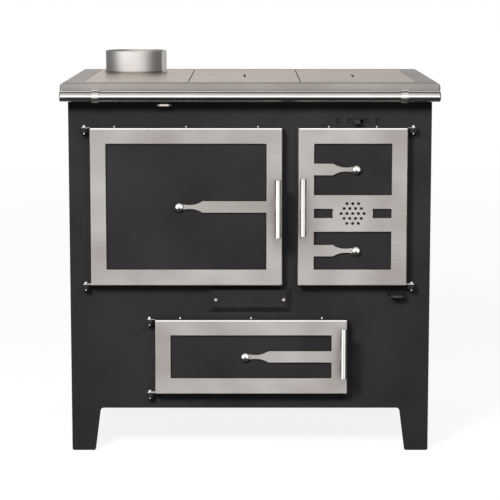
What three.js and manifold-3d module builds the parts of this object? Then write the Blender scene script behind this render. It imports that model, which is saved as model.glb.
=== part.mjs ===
// Wood-burning cookstove: a sheet-steel body on four cut legs, an oven on the left, a firebox on the
// right, a storage compartment below, and a steel worktop with three cooking plates and a flue collar.
// Millimetres, +Z up. The front faces -Y and +X is to the right of someone facing it.
// Pieces are drawn with the front face of the front panel at y = 0 and the floor at z = 0. The whole
// stove is then moved back so that the origin is the middle of its bounding box at floor level.
import * as THREE from 'three';
import { mergeVertices } from 'three/addons/utils/BufferGeometryUtils.js';
import Module from 'manifold-3d';

const wasm = await Module();
wasm.setup();

// ---------------------------------------------------------------- driving dimensions

// Fits
const seatGap = 0.3;               // between two pieces that touch
const slideGap = 1;                // round a piece that slides or lifts out
const pinClearance = 0.4;          // a hinge pin in its knuckle, on the radius

// Sides of the polygons that stand for rounds
const barSides = 16;
const pinSides = 12;
const holeSides = 10;
const collarSides = 40;
const domeSteps = 3;
const domeEdge = 0.15;             // share of a dome's height that is its straight edge

// Worktop
const worktopHeight = 850;         // cooking surface above the floor
const sideOverhang = 16.5;         // worktop edge beyond the body at each side
const worktopDepth = 606;
const worktopCorner = 4;           // corner radius in plan
const sideRoll = 10;               // radius of the rolled edge at each side
const frontOverhang = 20;          // worktop edge before the front panel
const backOverhang = 10;
const deckThickness = 8;
const skirtHeight = 42;            // whole height of the worktop's edge
const skirtSheet = 3;
const sideBorder = 50.5;           // deck beside the cooking plates
const frontBorder = 30;
const backBorder = 40;
const ledgeDrop = 8;               // thickness of the ledge under the plates
const ledgeWidth = 12;             // how far the ledge reaches under a plate
const ledgeWeld = 5;               // and how far under the deck
const fluePlateWidth = 237.5;
const centrePlateWidth = 253.5;
const liftSlotLength = 120;
const liftSlotWidth = 5;
const liftSlotEnd = 2.4;            // radius of its ends, just under half the width

// Flue
const collarRadius = 75;           // outside, for 150 mm stovepipe
const collarSheet = 2.2;
const collarHeight = 52;
const collarFromSide = 143.5;      // collar axis to the worktop's left edge
const collarFromBack = 114;
const collarBead = 3;              // weld bead round the foot
const lapSheet = 1.2;              // outer layer of the lap seam
const lapStart = -35;              // degrees in plan, from +X
const lapEnd = 50;

// Towel rail
const railRadius = 12.7;
const railWall = 1.2;
const railEndInset = 4.5;          // rail's tube short of the worktop's side, as its cap is domed
const railStandOff = 18;           // rail axis before the skirt
const railAxisDrop = 29.7;         // rail axis below the cooking surface
const railCapDome = 4.5;
const railCapPlug = 12;
const railStrapFromEdge = 82;      // strap's middle to the worktop's side edge
const railStrapWidth = 16.5;
const railStrapSheet = 2.5;

// Body
const bodyWidth = 822;
const sheet = 3;
const archHeight = 100;            // lower edge of the body above the floor
const legTopWidth = 67;
const legFootWidth = 54;
const archRound = 7;
const footRound = 5;
const baseAboveArch = 4;

// Doors
const doorLap = 20;                // a door overlaps its opening by this much all round
const doorGap = 6;                 // door back to front panel, filled by the rope seal
const panDepth = 20;
const fasciaStandOff = 4;          // fascia before the pan, so its window throws a shadow
const panSheet = 2;
const linerSheet = 2;
const fasciaSheet = 1.5;
const fasciaReturn = 25;           // depth of the fascia's folded edges
const fasciaFrame = 36;            // width of the fascia round its window
const doorBottom = 391.5;          // oven and fire doors above the floor
const doorBelowSkirt = 58;         // their upper edge under the worktop's skirt
const ovenDoorFromSide = 50;       // door edge to the body's side
const fireDoorFromSide = 55.5;
const fireDoorWidth = 247;
const doorSpacing = 35.5;          // between the oven door and the fire door
const storageDoorX = 2.5;          // middle of the door
const storageDoorWidth = 439;
const storageAboveArch = 40;       // its lower edge above the body's lower edge
const storageBelowCover = 13;      // its upper edge below the clean-out cover
const ropeWidth = 7;
const ropeFromOpening = 3;

// Straps cut out of the fascia, each ending in a disc with a domed stud
const strapWidth = 26;
const strapNeck = 9;
const strapNeckAt = 28;            // neck beyond the straight part
const strapDiscAt = 52.5;          // disc centre beyond the straight part
const strapDiscMeet = 140;         // degrees round the disc where the neck joins it
const strapPull = 0.6;             // share of the taper at which its curve is pulled in
const strapDisc = 9.5;             // radius
const longStrap = 144;             // straight part, oven and storage doors
const shortStrap = 43;             // straight part, fire door
const studRadius = 9;
const studHeight = 6;

// Fire door band between its two windows
const bandBelowMiddle = 14.75;     // band's middle below the door's middle
const bandBar = 31;
const bandSlot = 21;
const discRadius = 46;             // plain round the band's slots run up to
const ventHole = 3.2;              // radius of the round holes in the disc
const ventPitch = 13;
const ventRings = 2;

// Handles
const handleRadius = 6;
const handleLength = 130;
const storageHandleLength = 115;
const storageHandleRise = 15;      // above the middle of its door
const fireHandleRise = 3;
const handleInset = 10.5;          // bar axis from the door's free edge
const handleClear = 35;            // finger gap behind the bar
const postRadius = 5;
const postFromEnd = 15;

// Hinges
const hingeReach = 12.5;           // hinge axis beyond the door's edge
const hingeSetBack = 17;           // hinge axis before the front panel
const pinRadius = 3.8;
const pinHeadRadius = 6;
const pinHeadHeight = 8.5;
const pinTip = 4;                  // pin showing below the knuckle
const knuckleRadius = 8;
const knuckleHeight = 10.5;
const knuckleWeb = 10;
const earRadius = 8;

// Screws
const coverScrewRadius = 5.5;
const coverScrewHeight = 4;
const coverScrewX = 77.5;

// Latches
const tongueThickness = 3;
const tongueHeight = 30;
const tongueReach = 10;            // past the front panel's face
const tongueFromOpening = 12;
const tongueClearance = 2;
const keeperWidth = 16;
const keeperDepth = 12;
const keeperHeight = 44;

// Clean-out cover, a raised tray over the soot opening
const coverFromFireDoor = 108.8;   // cover's middle to the fire door's free edge
const coverBelowDoors = 7;
const coverWidth = 191;
const coverHeight = 59.5;
const coverBevel = 12.5;
const coverDepth = 10;
const cleanOutWidth = 140;
const cleanOutHeight = 34;

// Air register above the fire door
const registerPastMiddle = 12.5;   // register's middle beyond the door's middle
const registerAboveDoor = 12.3;
const ventWidth = 9;
const ventHeight = 12.5;
const ventRound = 2;
const ventSpacing = 24.9;          // between the two vents of a pair
const ventPairSpacing = 64.4;      // between the middles of the pairs
const knobBeforeMiddle = 2.9;      // knob to the register's middle, with the vents shut
const knobRadius = 8.2;
const knobStem = 3;
const knobStandOff = 2;            // ball before the front panel
const registerTravel = 12.5;
const registerHeight = 26;
const registerEnd = 20;            // slide beyond its outer vents
const registerSheet = 2;
const guideSheet = 2.4;
const guideLip = 3;

// Pull bars of the flue damper and of the primary air
const pullWidth = 33;
const pullThickness = 5;
const pullShow = 27;               // bar before the front panel
const pullChamfer = 6;
const pullHole = 4.5;              // radius
const pullSlotSide = 3.5;
const pullSlotTop = 1.6;
const damperFromBoxSide = 61;      // damper's bar to the flue box's right side
const damperBelowSkirt = 8;
const airPullFromDoorEdge = 19.5;  // air bar to the fire door's hinged edge
const airPullBelowDoor = 27;

// Oven
const ovenSheet = 2;
const rearWayDepth = 129.4;        // smoke way between the oven and the back panel
const rackHeight = 150;            // rack above the oven floor
const rackThickness = 5;
const rackBar = 5;
const rackBars = 14;
const rackFromDoor = 42;
const rackFromBack = 6.3;
const runnerReach = 10;
const runnerSheet = 2;
const runnerHeight = 14;
const runnerLevels = 3;
const runnerPitch = 75;

// Smoke passages
const underOvenHeight = 76.5;      // smoke way between the oven and the smoke floor
const smokeFlange = 50;
const dividerHoleInset = 4;
const flueBoxSheet = 2;
const flueBoxBeforeCollar = 87;    // its front to the collar's axis
const flueBoxFromField = 5;        // its left side inside the field of plates
const flueBoxPastSeam = 7.5;       // its right side beyond the first seam
const bypassWidth = 100;
const bypassHeight = 46;
const valveLap = 8;

// Firebox
const brickThickness = 30;
const brickLedge = 10;             // lower bricks reach this much further in, under the grate
const gasPassage = 99;             // above the bricks, by which the smoke goes over the oven
const brickJoint = 2;              // width and depth of a joint's groove
const shellFromBack = 22.8;        // firebox shell to the back panel
const grateAboveFloor = 78.5;
const grateThickness = 15;
const grateSlots = 9;
const grateSlotWidth = 12;
const grateRim = 14;
const shellSheet = 3;
const airHoleWidth = 36;
const airHoleLength = 80;
const airTravel = 90;
const airHoleFromFront = 140;
const airPlateWidth = 52;
const airPlateLength = 300;
const ashPanHeight = 66;
const ashPanSheet = 1.5;
const ashPanFromDoor = 46;
const ashPanFromBack = 70.3;       // pan to the back bricks
const ashPanLip = 12;
const ashSideGap = 4;

// Storage compartment
const storageSheet = 2;
const storageDepth = 320;

// ---------------------------------------------------------------- places worked out from them

const deckBottom = worktopHeight - deckThickness;
const ledgeBottom = deckBottom - ledgeDrop;
const panelTop = deckBottom - seatGap;
const bodyHalf = bodyWidth / 2;
const worktopHalf = bodyHalf + sideOverhang;
const worktopFront = -frontOverhang;
const worktopBack = worktopFront + worktopDepth;
const beyond = 2;                  // how far a cutter reaches past what it cuts
const bodyBack = worktopBack - backOverhang;
const innerHalf = bodyHalf - sheet - seatGap;
const innerFront = sheet + seatGap;
const innerBack = bodyBack - sheet - seatGap;
const baseTop = archHeight + baseAboveArch + sheet;
const platesLeft = -worktopHalf + sideBorder;
const platesRight = worktopHalf - sideBorder;
const platesFront = worktopFront + frontBorder;
const platesBack = worktopBack - backBorder;
const firstSeam = platesLeft + fluePlateWidth;
const secondSeam = firstSeam + centrePlateWidth;
const collarX = -worktopHalf + collarFromSide;
const collarY = worktopBack - collarFromBack;
const railY = worktopFront - railStandOff;
const railZ = worktopHeight - railAxisDrop;
const railEnd = worktopHalf - railEndInset;
const railStrapX = worktopHalf - railStrapFromEdge;
const skirtBottom = worktopHeight - skirtHeight;
const doorBack = -doorGap;
const panFront = doorBack - panDepth;
const fasciaBack = panFront - fasciaStandOff;
const fasciaFront = fasciaBack - fasciaSheet;
const handleY = fasciaFront - handleClear - handleRadius;
const keeperBack = innerFront + keeperDepth;
const flueBoxFront = collarY - flueBoxBeforeCollar;
const flueBoxLeft = platesLeft + flueBoxFromField;
const flueBoxRight = firstSeam + flueBoxPastSeam;
const damperX = flueBoxRight - damperFromBoxSide;
const damperZ = skirtBottom - damperBelowSkirt;
const coverBottom = doorBottom - coverBelowDoors - coverHeight;

// The three doors. side is +1 where the hinges are on the right and -1 where they are on the left.
const doorTop = skirtBottom - doorBelowSkirt;
const fireDoorRight = bodyHalf - fireDoorFromSide;
const fireDoorLeft = fireDoorRight - fireDoorWidth;
const ovenDoorSpan = [-bodyHalf + ovenDoorFromSide, fireDoorLeft - doorSpacing];
const storageDoorSpan = [storageDoorX - storageDoorWidth / 2, storageDoorX + storageDoorWidth / 2];
const storageDoorRise = [archHeight + storageAboveArch, coverBottom - storageBelowCover];
const ovenDoor = doorPlan(ovenDoorSpan, [doorBottom, doorTop], -1);
const fireDoor = doorPlan([fireDoorLeft, fireDoorRight], [doorBottom, doorTop], 1);
const storageDoor = doorPlan(storageDoorSpan, storageDoorRise, -1);
const doors = [ovenDoor, fireDoor, storageDoor];

const smokeFloorTop = ovenDoor.opening.bottom - underOvenHeight;
const coverX = fireDoorLeft - coverFromFireDoor;
const registerX = fireDoor.middle + registerPastMiddle;
const registerZ = doorTop + registerAboveDoor;
const knobX = registerX - knobBeforeMiddle;
const airPullX = fireDoorRight - airPullFromDoorEdge;
const airPullZ = doorBottom - airPullBelowDoor;

function doorPlan([left, right], [bottom, top], side) {
  const outline = { left, right, bottom, top };
  const opening = grown(outline, -doorLap);
  const free = side < 0 ? outline.right : outline.left;
  const hung = side < 0 ? outline.left : outline.right;
  const openingFree = side < 0 ? opening.right : opening.left;
  return {
    outline,
    opening,
    side,
    middle: (left + right) / 2,
    centre: (bottom + top) / 2,
    window: grown(outline, -fasciaFrame),
    handleX: free + side * handleInset,
    hingeX: hung + side * hingeReach,
    tongueX: openingFree - side * (tongueFromOpening + tongueThickness / 2),
  };
}

function grown(rect, by) {
  return { left: rect.left - by, right: rect.right + by, bottom: rect.bottom - by, top: rect.top + by };
}

// ---------------------------------------------------------------- solids

function toSolid(geometry) {
  geometry.deleteAttribute('normal');
  geometry.deleteAttribute('uv');
  const merged = mergeVertices(geometry);
  const corners = merged.index.array;
  const kept = [];
  for (let i = 0; i < corners.length; i += 3) {
    const [a, b, c] = [corners[i], corners[i + 1], corners[i + 2]];
    if (a !== b && b !== c && c !== a) kept.push(a, b, c);
  }
  const vertProperties = new Float32Array(merged.attributes.position.array);
  return new wasm.Manifold(new wasm.Mesh({ numProp: 3, vertProperties, triVerts: new Uint32Array(kept) }));
}

function toGeometry(solid) {
  const mesh = solid.getMesh();
  const geometry = new THREE.BufferGeometry();
  geometry.setAttribute('position', new THREE.BufferAttribute(mesh.vertProperties, 3));
  geometry.setIndex(new THREE.BufferAttribute(mesh.triVerts, 1));
  geometry.computeVertexNormals();
  return geometry;
}

function ordered(a, b) {
  return [Math.min(a, b), Math.max(a, b)];
}

function joined(solids) {
  return solids.reduce((whole, piece) => whole.add(piece));
}

function cutBy(solid, cutters) {
  return cutters.reduce((rest, cutter) => rest.subtract(cutter), solid);
}

// Moves every vertex of a geometry to where place puts it.
function mapped(geometry, place) {
  const at = geometry.getAttribute('position');
  for (let i = 0; i < at.count; i += 1) {
    at.setXYZ(i, ...place(at.getX(i), at.getY(i), at.getZ(i)));
  }
  return geometry;
}

function block([x0, x1], [y0, y1], [z0, z1]) {
  const corner = (x, y, z) => [x < 0 ? x0 : x1, y < 0 ? y0 : y1, z < 0 ? z0 : z1];
  return toSolid(mapped(new THREE.BoxGeometry(1, 1, 1), corner));
}

function unitExtrude(shape, curveSegments) {
  return new THREE.ExtrudeGeometry(shape, { depth: 1, bevelEnabled: false, curveSegments });
}

// An outline drawn from the front, x and z, made solid between two y values.
function frontSlab(shape, [y0, y1], curveSegments = 6) {
  return toSolid(mapped(unitExtrude(shape, curveSegments), (x, z, t) => [x, t < 0.5 ? y1 : y0, z]));
}

// An outline drawn from above, x and y, made solid between two z values.
function planSlab(shape, [z0, z1], curveSegments = 6) {
  return toSolid(mapped(unitExtrude(shape, curveSegments), (x, y, t) => [x, y, t < 0.5 ? z0 : z1]));
}

// An outline drawn from the right side, y and z, made solid between two x values.
function sideSlab(shape, [x0, x1], curveSegments = 6) {
  return toSolid(mapped(unitExtrude(shape, curveSegments), (y, z, t) => [t < 0.5 ? x0 : x1, y, z]));
}

function rod(start, end, radius, sides = barSides) {
  const from = new THREE.Vector3(...start);
  const along = new THREE.Vector3(...end).sub(from);
  const geometry = new THREE.CylinderGeometry(radius, radius, along.length(), sides);
  const up = new THREE.Vector3(0, 1, 0);
  geometry.applyQuaternion(new THREE.Quaternion().setFromUnitVectors(up, along.clone().normalize()));
  geometry.translate(from.x + along.x / 2, from.y + along.y / 2, from.z + along.z / 2);
  return toSolid(geometry);
}

// A profile of [radius, height] points turned about an axis that points along direction from place.
function turned(profile, place, direction, sides = barSides) {
  const points = profile.map(([radius, height]) => new THREE.Vector2(radius, height));
  const geometry = new THREE.LatheGeometry(points, sides);
  const up = new THREE.Vector3(0, 1, 0);
  geometry.applyQuaternion(new THREE.Quaternion().setFromUnitVectors(up, new THREE.Vector3(...direction)));
  geometry.translate(...place);
  return toSolid(geometry);
}

// A low dome standing on its flat side, with a short straight edge under the round.
function dome(place, direction, radius, height) {
  const edge = height * domeEdge;
  const profile = [[0, 0], [radius, 0]];
  for (let i = 0; i < domeSteps; i += 1) {
    const angle = (i / domeSteps) * Math.PI / 2;
    profile.push([radius * Math.cos(angle), edge + (height - edge) * Math.sin(angle)]);
  }
  return turned([...profile, [0, height]], place, direction);
}

function rectShape({ left, right, bottom, top }, radius = 0) {
  const shape = new THREE.Shape();
  shape.moveTo(left + radius, bottom);
  shape.lineTo(right - radius, bottom);
  if (radius) shape.absarc(right - radius, bottom + radius, radius, -Math.PI / 2, 0);
  shape.lineTo(right, top - radius);
  if (radius) shape.absarc(right - radius, top - radius, radius, 0, Math.PI / 2);
  shape.lineTo(left + radius, top);
  if (radius) shape.absarc(left + radius, top - radius, radius, Math.PI / 2, Math.PI);
  shape.lineTo(left, bottom + radius);
  if (radius) shape.absarc(left + radius, bottom + radius, radius, Math.PI, Math.PI * 1.5);
  shape.closePath();
  return shape;
}

// A box with one wall left out: the outer block less the inner one.
function shellOf(outer, inner) {
  return block(...outer).subtract(block(...inner));
}

// ---------------------------------------------------------------- materials and the scene

function finish(color, roughness, metalness) {
  return new THREE.MeshStandardMaterial({ color, roughness, metalness });
}

const blackPaint = finish(0x3a393a, 0.6, 0.1);
const stainless = finish(0xb8b3ae, 0.38, 1);
const polished = finish(0xcfcac4, 0.15, 1);
const worktopSteel = finish(0xa8a19a, 0.35, 1);
const castIron = finish(0x2c2c2d, 0.75, 0.4);
const darkSteel = finish(0x4a4a4b, 0.55, 0.6);
const firebrick = finish(0xcdb38c, 0.95, 0);
const rope = finish(0x37352f, 0.95, 0);
const blackPlastic = finish(0x161616, 0.35, 0);

const stove = new THREE.Group();

function addPiece(name, material, solid) {
  const mesh = new THREE.Mesh(toGeometry(solid), material);
  mesh.name = name;
  stove.add(mesh);
}

function addHingePins(name, door) {
  const [upper, lower] = earUndersides(door);
  addPiece(`${name}_hinge_pin_upper`, stainless, hingePin(door, upper));
  addPiece(`${name}_hinge_pin_lower`, stainless, hingePin(door, lower));
}

// ---------------------------------------------------------------- worktop

const deckOutline = { left: -worktopHalf, right: worktopHalf, bottom: worktopFront, top: worktopBack };
const plateField = { left: platesLeft, right: platesRight, bottom: platesFront, top: platesBack };

// The deck and its skirt are one sheet, rolled down in a round at the sides and folded at the front
// and back. The plates lie in its window.
function topFrame() {
  const field = rectShape(plateField);
  const rolled = {
    left: -worktopHalf, right: worktopHalf, bottom: skirtBottom - 2 * sideRoll, top: worktopHeight,
  };
  const deck = planSlab(rectShape(deckOutline, worktopCorner), [skirtBottom, worktopHeight])
    .intersect(frontSlab(rectShape(rolled, sideRoll), [worktopFront - beyond, worktopBack + beyond]))
    .subtract(planSlab(rectShape(grown(deckOutline, -skirtSheet), worktopCorner - skirtSheet),
      [skirtBottom - slideGap, deckBottom]))
    .subtract(planSlab(field, [ledgeBottom, worktopHeight + slideGap]));
  return deck.add(plateLedge());
}

// The ledge that the plates lie on: a ring under the edge of the deck and a bar under each seam.
function plateLedge() {
  const top = deckBottom - seatGap;
  const outer = grown(plateField, ledgeWeld);
  const cutters = [[platesLeft, firstSeam], [firstSeam, secondSeam], [secondSeam, platesRight]]
    .map(([left, right]) => block([left + ledgeWidth, right - ledgeWidth],
      [platesFront + ledgeWidth, platesBack - ledgeWidth], [ledgeBottom - slideGap, deckBottom]));
  const ring = cutBy(planSlab(rectShape(outer), [ledgeBottom, top]), cutters);
  const rim = planSlab(rectShape(outer), [top - ledgeDrop / 2, deckBottom + deckThickness / 2])
    .subtract(planSlab(rectShape(plateField), [ledgeBottom, worktopHeight]));
  return ring.add(rim);
}

// One plate between two seams, with a running gap all round.
function plateBetween(left, right) {
  return block([left + slideGap, right - slideGap], [platesFront + slideGap, platesBack - slideGap],
    [deckBottom, worktopHeight]);
}

function liftingSlot(left, right) {
  const x = (left + right) / 2;
  const y = (platesFront + platesBack) / 2;
  const outline = {
    left: x - liftSlotWidth / 2,
    right: x + liftSlotWidth / 2,
    bottom: y - liftSlotLength / 2,
    top: y + liftSlotLength / 2,
  };
  return planSlab(rectShape(outline, liftSlotEnd), [deckBottom - slideGap, worktopHeight + slideGap], 3);
}

function fluePlate() {
  const bore = rod([collarX, collarY, ledgeBottom], [collarX, collarY, worktopHeight + slideGap],
    collarRadius - collarSheet, collarSides);
  return plateBetween(platesLeft, firstSeam).subtract(bore);
}

function flueCollar() {
  const inner = collarRadius - collarSheet;
  const profile = [
    [inner, 0],
    [collarRadius + collarBead, 0],
    [collarRadius + collarBead * Math.SQRT1_2, collarBead * Math.SQRT1_2],
    [collarRadius, collarBead],
    [collarRadius, collarHeight],
    [inner, collarHeight],
    [inner, 0],
  ];
  const place = [collarX, collarY, worktopHeight + seatGap];
  return turned(profile, place, [0, 0, 1], collarSides).add(lapLayer());
}

// The outer layer of the rolled sheet where its ends overlap, a strip that follows the round.
function lapLayer() {
  const start = THREE.MathUtils.degToRad(lapStart);
  const end = THREE.MathUtils.degToRad(lapEnd);
  const shape = new THREE.Shape();
  shape.absarc(collarX, collarY, collarRadius + lapSheet, start, end);
  shape.absarc(collarX, collarY, collarRadius - collarSheet / 2, end, start, true);
  const low = worktopHeight + seatGap + collarBead * 2;
  return planSlab(shape, [low, worktopHeight + seatGap + collarHeight], 8);
}

// ---------------------------------------------------------------- towel rail

function towelRail() {
  const tube = rod([-railEnd, railY, railZ], [railEnd, railY, railZ], railRadius);
  const past = railEnd + beyond;
  return tube.subtract(rod([-past, railY, railZ], [past, railY, railZ], railRadius - railWall));
}

function railEndCap(side) {
  const bore = railRadius - railWall - seatGap;
  const face = side * (railEnd + seatGap);
  const plug = rod([face - side * railCapPlug, railY, railZ], [face + side, railY, railZ], bore);
  return plug.add(dome([face, railY, railZ], [side, 0, 0], railRadius, railCapDome - seatGap));
}

// The strap comes off the worktop's edge, wraps over the rail and goes back under it.
function railStrap(side) {
  const outer = railRadius + seatGap + railStrapSheet;
  const back = worktopFront - seatGap;
  const shape = new THREE.Shape();
  shape.moveTo(back, railZ - outer);
  shape.lineTo(back, railZ + outer);
  shape.lineTo(railY, railZ + outer);
  shape.absarc(railY, railZ, outer, Math.PI / 2, Math.PI * 1.5);
  shape.closePath();
  const span = [side * railStrapX - railStrapWidth / 2, side * railStrapX + railStrapWidth / 2];
  const bore = rod([span[0] - beyond, railY, railZ], [span[1] + beyond, railY, railZ], railRadius + seatGap);
  return sideSlab(shape, span, 10).subtract(bore);
}

// ---------------------------------------------------------------- body panels

// A panel whose lower edge is cut up between two tapered legs.
function leggedShape(left, right, top) {
  const slope = (legTopWidth - legFootWidth) / archHeight;
  const shape = new THREE.Shape();
  shape.moveTo(left, top);
  shape.lineTo(left, footRound);
  shape.quadraticCurveTo(left, 0, left + footRound, 0);
  shape.lineTo(left + legFootWidth - footRound, 0);
  shape.quadraticCurveTo(left + legFootWidth, 0, left + legFootWidth + slope * footRound, footRound);
  shape.lineTo(left + legTopWidth - slope * archRound, archHeight - archRound);
  shape.quadraticCurveTo(left + legTopWidth, archHeight, left + legTopWidth + archRound, archHeight);
  shape.lineTo(right - legTopWidth - archRound, archHeight);
  shape.quadraticCurveTo(right - legTopWidth, archHeight,
    right - legTopWidth + slope * archRound, archHeight - archRound);
  shape.lineTo(right - legFootWidth - slope * footRound, footRound);
  shape.quadraticCurveTo(right - legFootWidth, 0, right - legFootWidth + footRound, 0);
  shape.lineTo(right - footRound, 0);
  shape.quadraticCurveTo(right, 0, right, footRound);
  shape.lineTo(right, top);
  shape.closePath();
  return shape;
}

function frontPanel() {
  const panel = frontSlab(leggedShape(-bodyHalf, bodyHalf, panelTop), [0, sheet], 4);
  const through = [-beyond, sheet + beyond];
  const cuts = [
    ...doors.map(({ opening }) => frontSlab(rectShape(opening), through)),
    ...doors.map((door) => latchSlot(door, through)),
    frontSlab(rectShape(cleanOut), through),
    ...ventXs.map((x) => ventCut(x, through)),
    knobSlot(through),
    pullSlot(damperX, damperZ, through),
    pullSlot(airPullX, airPullZ, through),
  ];
  const welded = [...doors.flatMap(hingeKnuckles), ...doors.map(latchKeeper), ...registerGuides()];
  return joined([cutBy(panel, cuts), ...welded]);
}

function latchSlot({ tongueX, centre }, depth) {
  const halfWidth = tongueThickness / 2 + tongueClearance;
  const halfHeight = tongueHeight / 2 + tongueClearance;
  return block([tongueX - halfWidth, tongueX + halfWidth], depth, [centre - halfHeight, centre + halfHeight]);
}

function pullSlot(x, z, depth) {
  const half = pullWidth / 2 + pullSlotSide;
  return block([x - half, x + half], depth,
    [z - pullThickness / 2 - seatGap, z + pullThickness / 2 + pullSlotTop]);
}

function sidePanel(side) {
  const span = side < 0 ? [-bodyHalf, -bodyHalf + sheet] : [bodyHalf - sheet, bodyHalf];
  return sideSlab(leggedShape(innerFront, innerBack, panelTop), span, 4);
}

function backPanel() {
  return frontSlab(leggedShape(-bodyHalf, bodyHalf, panelTop), [bodyBack - sheet, bodyBack], 4);
}

function basePlate() {
  return block([-innerHalf, innerHalf], [innerFront, innerBack], [baseTop - sheet, baseTop]);
}

// The catch on the back of the front panel that a door's latch tongue pushes into.
function latchKeeper(door) {
  const { tongueX, centre } = door;
  const body = block([tongueX - keeperWidth / 2, tongueX + keeperWidth / 2], [sheet / 2, keeperBack],
    [centre - keeperHeight / 2, centre + keeperHeight / 2]);
  return body.subtract(latchSlot(door, [0, keeperBack + beyond]));
}

// ---------------------------------------------------------------- air register above the fire door

const ventXs = [-1, 1].flatMap((pair) => [-1, 1]
  .map((vent) => registerX + pair * ventPairSpacing / 2 + vent * ventSpacing / 2));
const registerHalf = (ventPairSpacing + ventSpacing + ventWidth) / 2 + registerEnd;
const registerFace = [innerFront, innerFront + registerSheet];

function ventCut(x, depth) {
  const outline = {
    left: x - ventWidth / 2,
    right: x + ventWidth / 2,
    bottom: registerZ - ventHeight / 2,
    top: registerZ + ventHeight / 2,
  };
  return frontSlab(rectShape(outline, ventRound), depth, 3);
}

function knobSlot(depth) {
  const half = knobStem + slideGap / 2;
  const outline = {
    left: knobX - half,
    right: knobX + registerTravel + half,
    bottom: registerZ - half,
    top: registerZ + half,
  };
  return frontSlab(rectShape(outline, ventRound), depth, 3);
}

// At rest the slide shuts the vents. Moved to the right, its own vents line up with the panel's.
function airRegisterSlide() {
  const plate = block([registerX - registerHalf, registerX + registerHalf], registerFace,
    [registerZ - registerHeight / 2, registerZ + registerHeight / 2]);
  return cutBy(plate, ventXs.map((x) => ventCut(x - registerTravel, [0, registerFace[1] + beyond])));
}

function airRegisterKnob() {
  const ballY = -knobRadius - knobStandOff;
  const profile = [];
  const steps = 6;
  for (let i = 0; i <= steps; i += 1) {
    const angle = (i / steps - 0.5) * Math.PI;
    const radius = i === 0 || i === steps ? 0 : knobRadius * Math.cos(angle);
    profile.push([radius, knobRadius * Math.sin(angle)]);
  }
  const ball = turned(profile, [knobX, ballY, registerZ], [0, -1, 0]);
  const stemEnd = innerFront - seatGap;
  return ball.add(rod([knobX, stemEnd, registerZ], [knobX, ballY, registerZ], knobStem, pinSides));
}

// Two angled rails on the back of the front panel that hold the slide.
function registerGuides() {
  const length = [registerX - registerHalf, registerX + registerHalf + registerTravel];
  const lipBack = registerFace[1] + seatGap + guideSheet;
  return [-1, 1].map((side) => {
    const edge = registerZ + side * (registerHeight / 2 + seatGap);
    const wall = ordered(edge, edge + side * guideSheet);
    const lip = ordered(edge - side * guideLip, edge + side * guideSheet);
    return block(length, [sheet / 2, lipBack], wall)
      .add(block(length, [registerFace[1] + seatGap, lipBack], lip));
  });
}

// ---------------------------------------------------------------- doors

function insetOf(door, by) {
  const { left, right, bottom, top } = grown(door.outline, -by);
  return [[left, right], [bottom, top]];
}

function doorPan(door) {
  const [x, z] = insetOf(door, fasciaSheet + seatGap);
  const [innerX, innerZ] = insetOf(door, fasciaSheet + seatGap + panSheet);
  return shellOf([x, [panFront, doorBack], z], [innerX, [panFront + panSheet, doorBack + beyond], innerZ]);
}

// The back of the door, with the tongue that the keeper holds.
function doorLiner(door) {
  const [x, z] = insetOf(door, fasciaSheet + panSheet + 2 * seatGap);
  const { tongueX, centre } = door;
  const tongue = block([tongueX - tongueThickness / 2, tongueX + tongueThickness / 2],
    [doorBack - linerSheet, tongueReach], [centre - tongueHeight / 2, centre + tongueHeight / 2]);
  return block(x, [doorBack - linerSheet, doorBack], z).add(tongue);
}

function doorRope(door) {
  const depth = [doorBack + seatGap, -seatGap];
  const outer = rectShape(grown(door.opening, ropeFromOpening + ropeWidth), ropeFromOpening + ropeWidth);
  const inner = rectShape(grown(door.opening, ropeFromOpening), ropeFromOpening);
  return frontSlab(outer, depth).subtract(frontSlab(inner, [depth[0] - beyond, depth[1] + beyond]));
}

// The bright outer skin: a shallow tray with a window, the strap across it and two hinge ears.
function fascia(door, cutters) {
  const [x, z] = insetOf(door, 0);
  const [innerX, innerZ] = insetOf(door, fasciaSheet);
  const back = fasciaFront + fasciaReturn;
  const tray = shellOf([x, [fasciaFront, back], z], [innerX, [fasciaBack, back + beyond], innerZ]);
  const ears = earUndersides(door).map((low) => hingeEar(door, low));
  return joined([cutBy(tray, cutters), ...ears]);
}

function hingeEar({ hingeX, side }, low) {
  const y = -hingeSetBack;
  const height = [low, low + fasciaSheet];
  const root = hingeX - side * (hingeReach + fasciaSheet / 2);
  const arm = block(ordered(root, hingeX), [y - earRadius, y + earRadius], height);
  const hole = rod([hingeX, y, low - beyond], [hingeX, y, low + fasciaSheet + beyond],
    pinRadius + seatGap, pinSides);
  return arm.add(rod([hingeX, y, low], [hingeX, y, low + fasciaSheet], earRadius)).subtract(hole);
}

function throughFascia(shape) {
  return frontSlab(shape, [fasciaFront - beyond, fasciaBack + beyond], 8);
}

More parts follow.
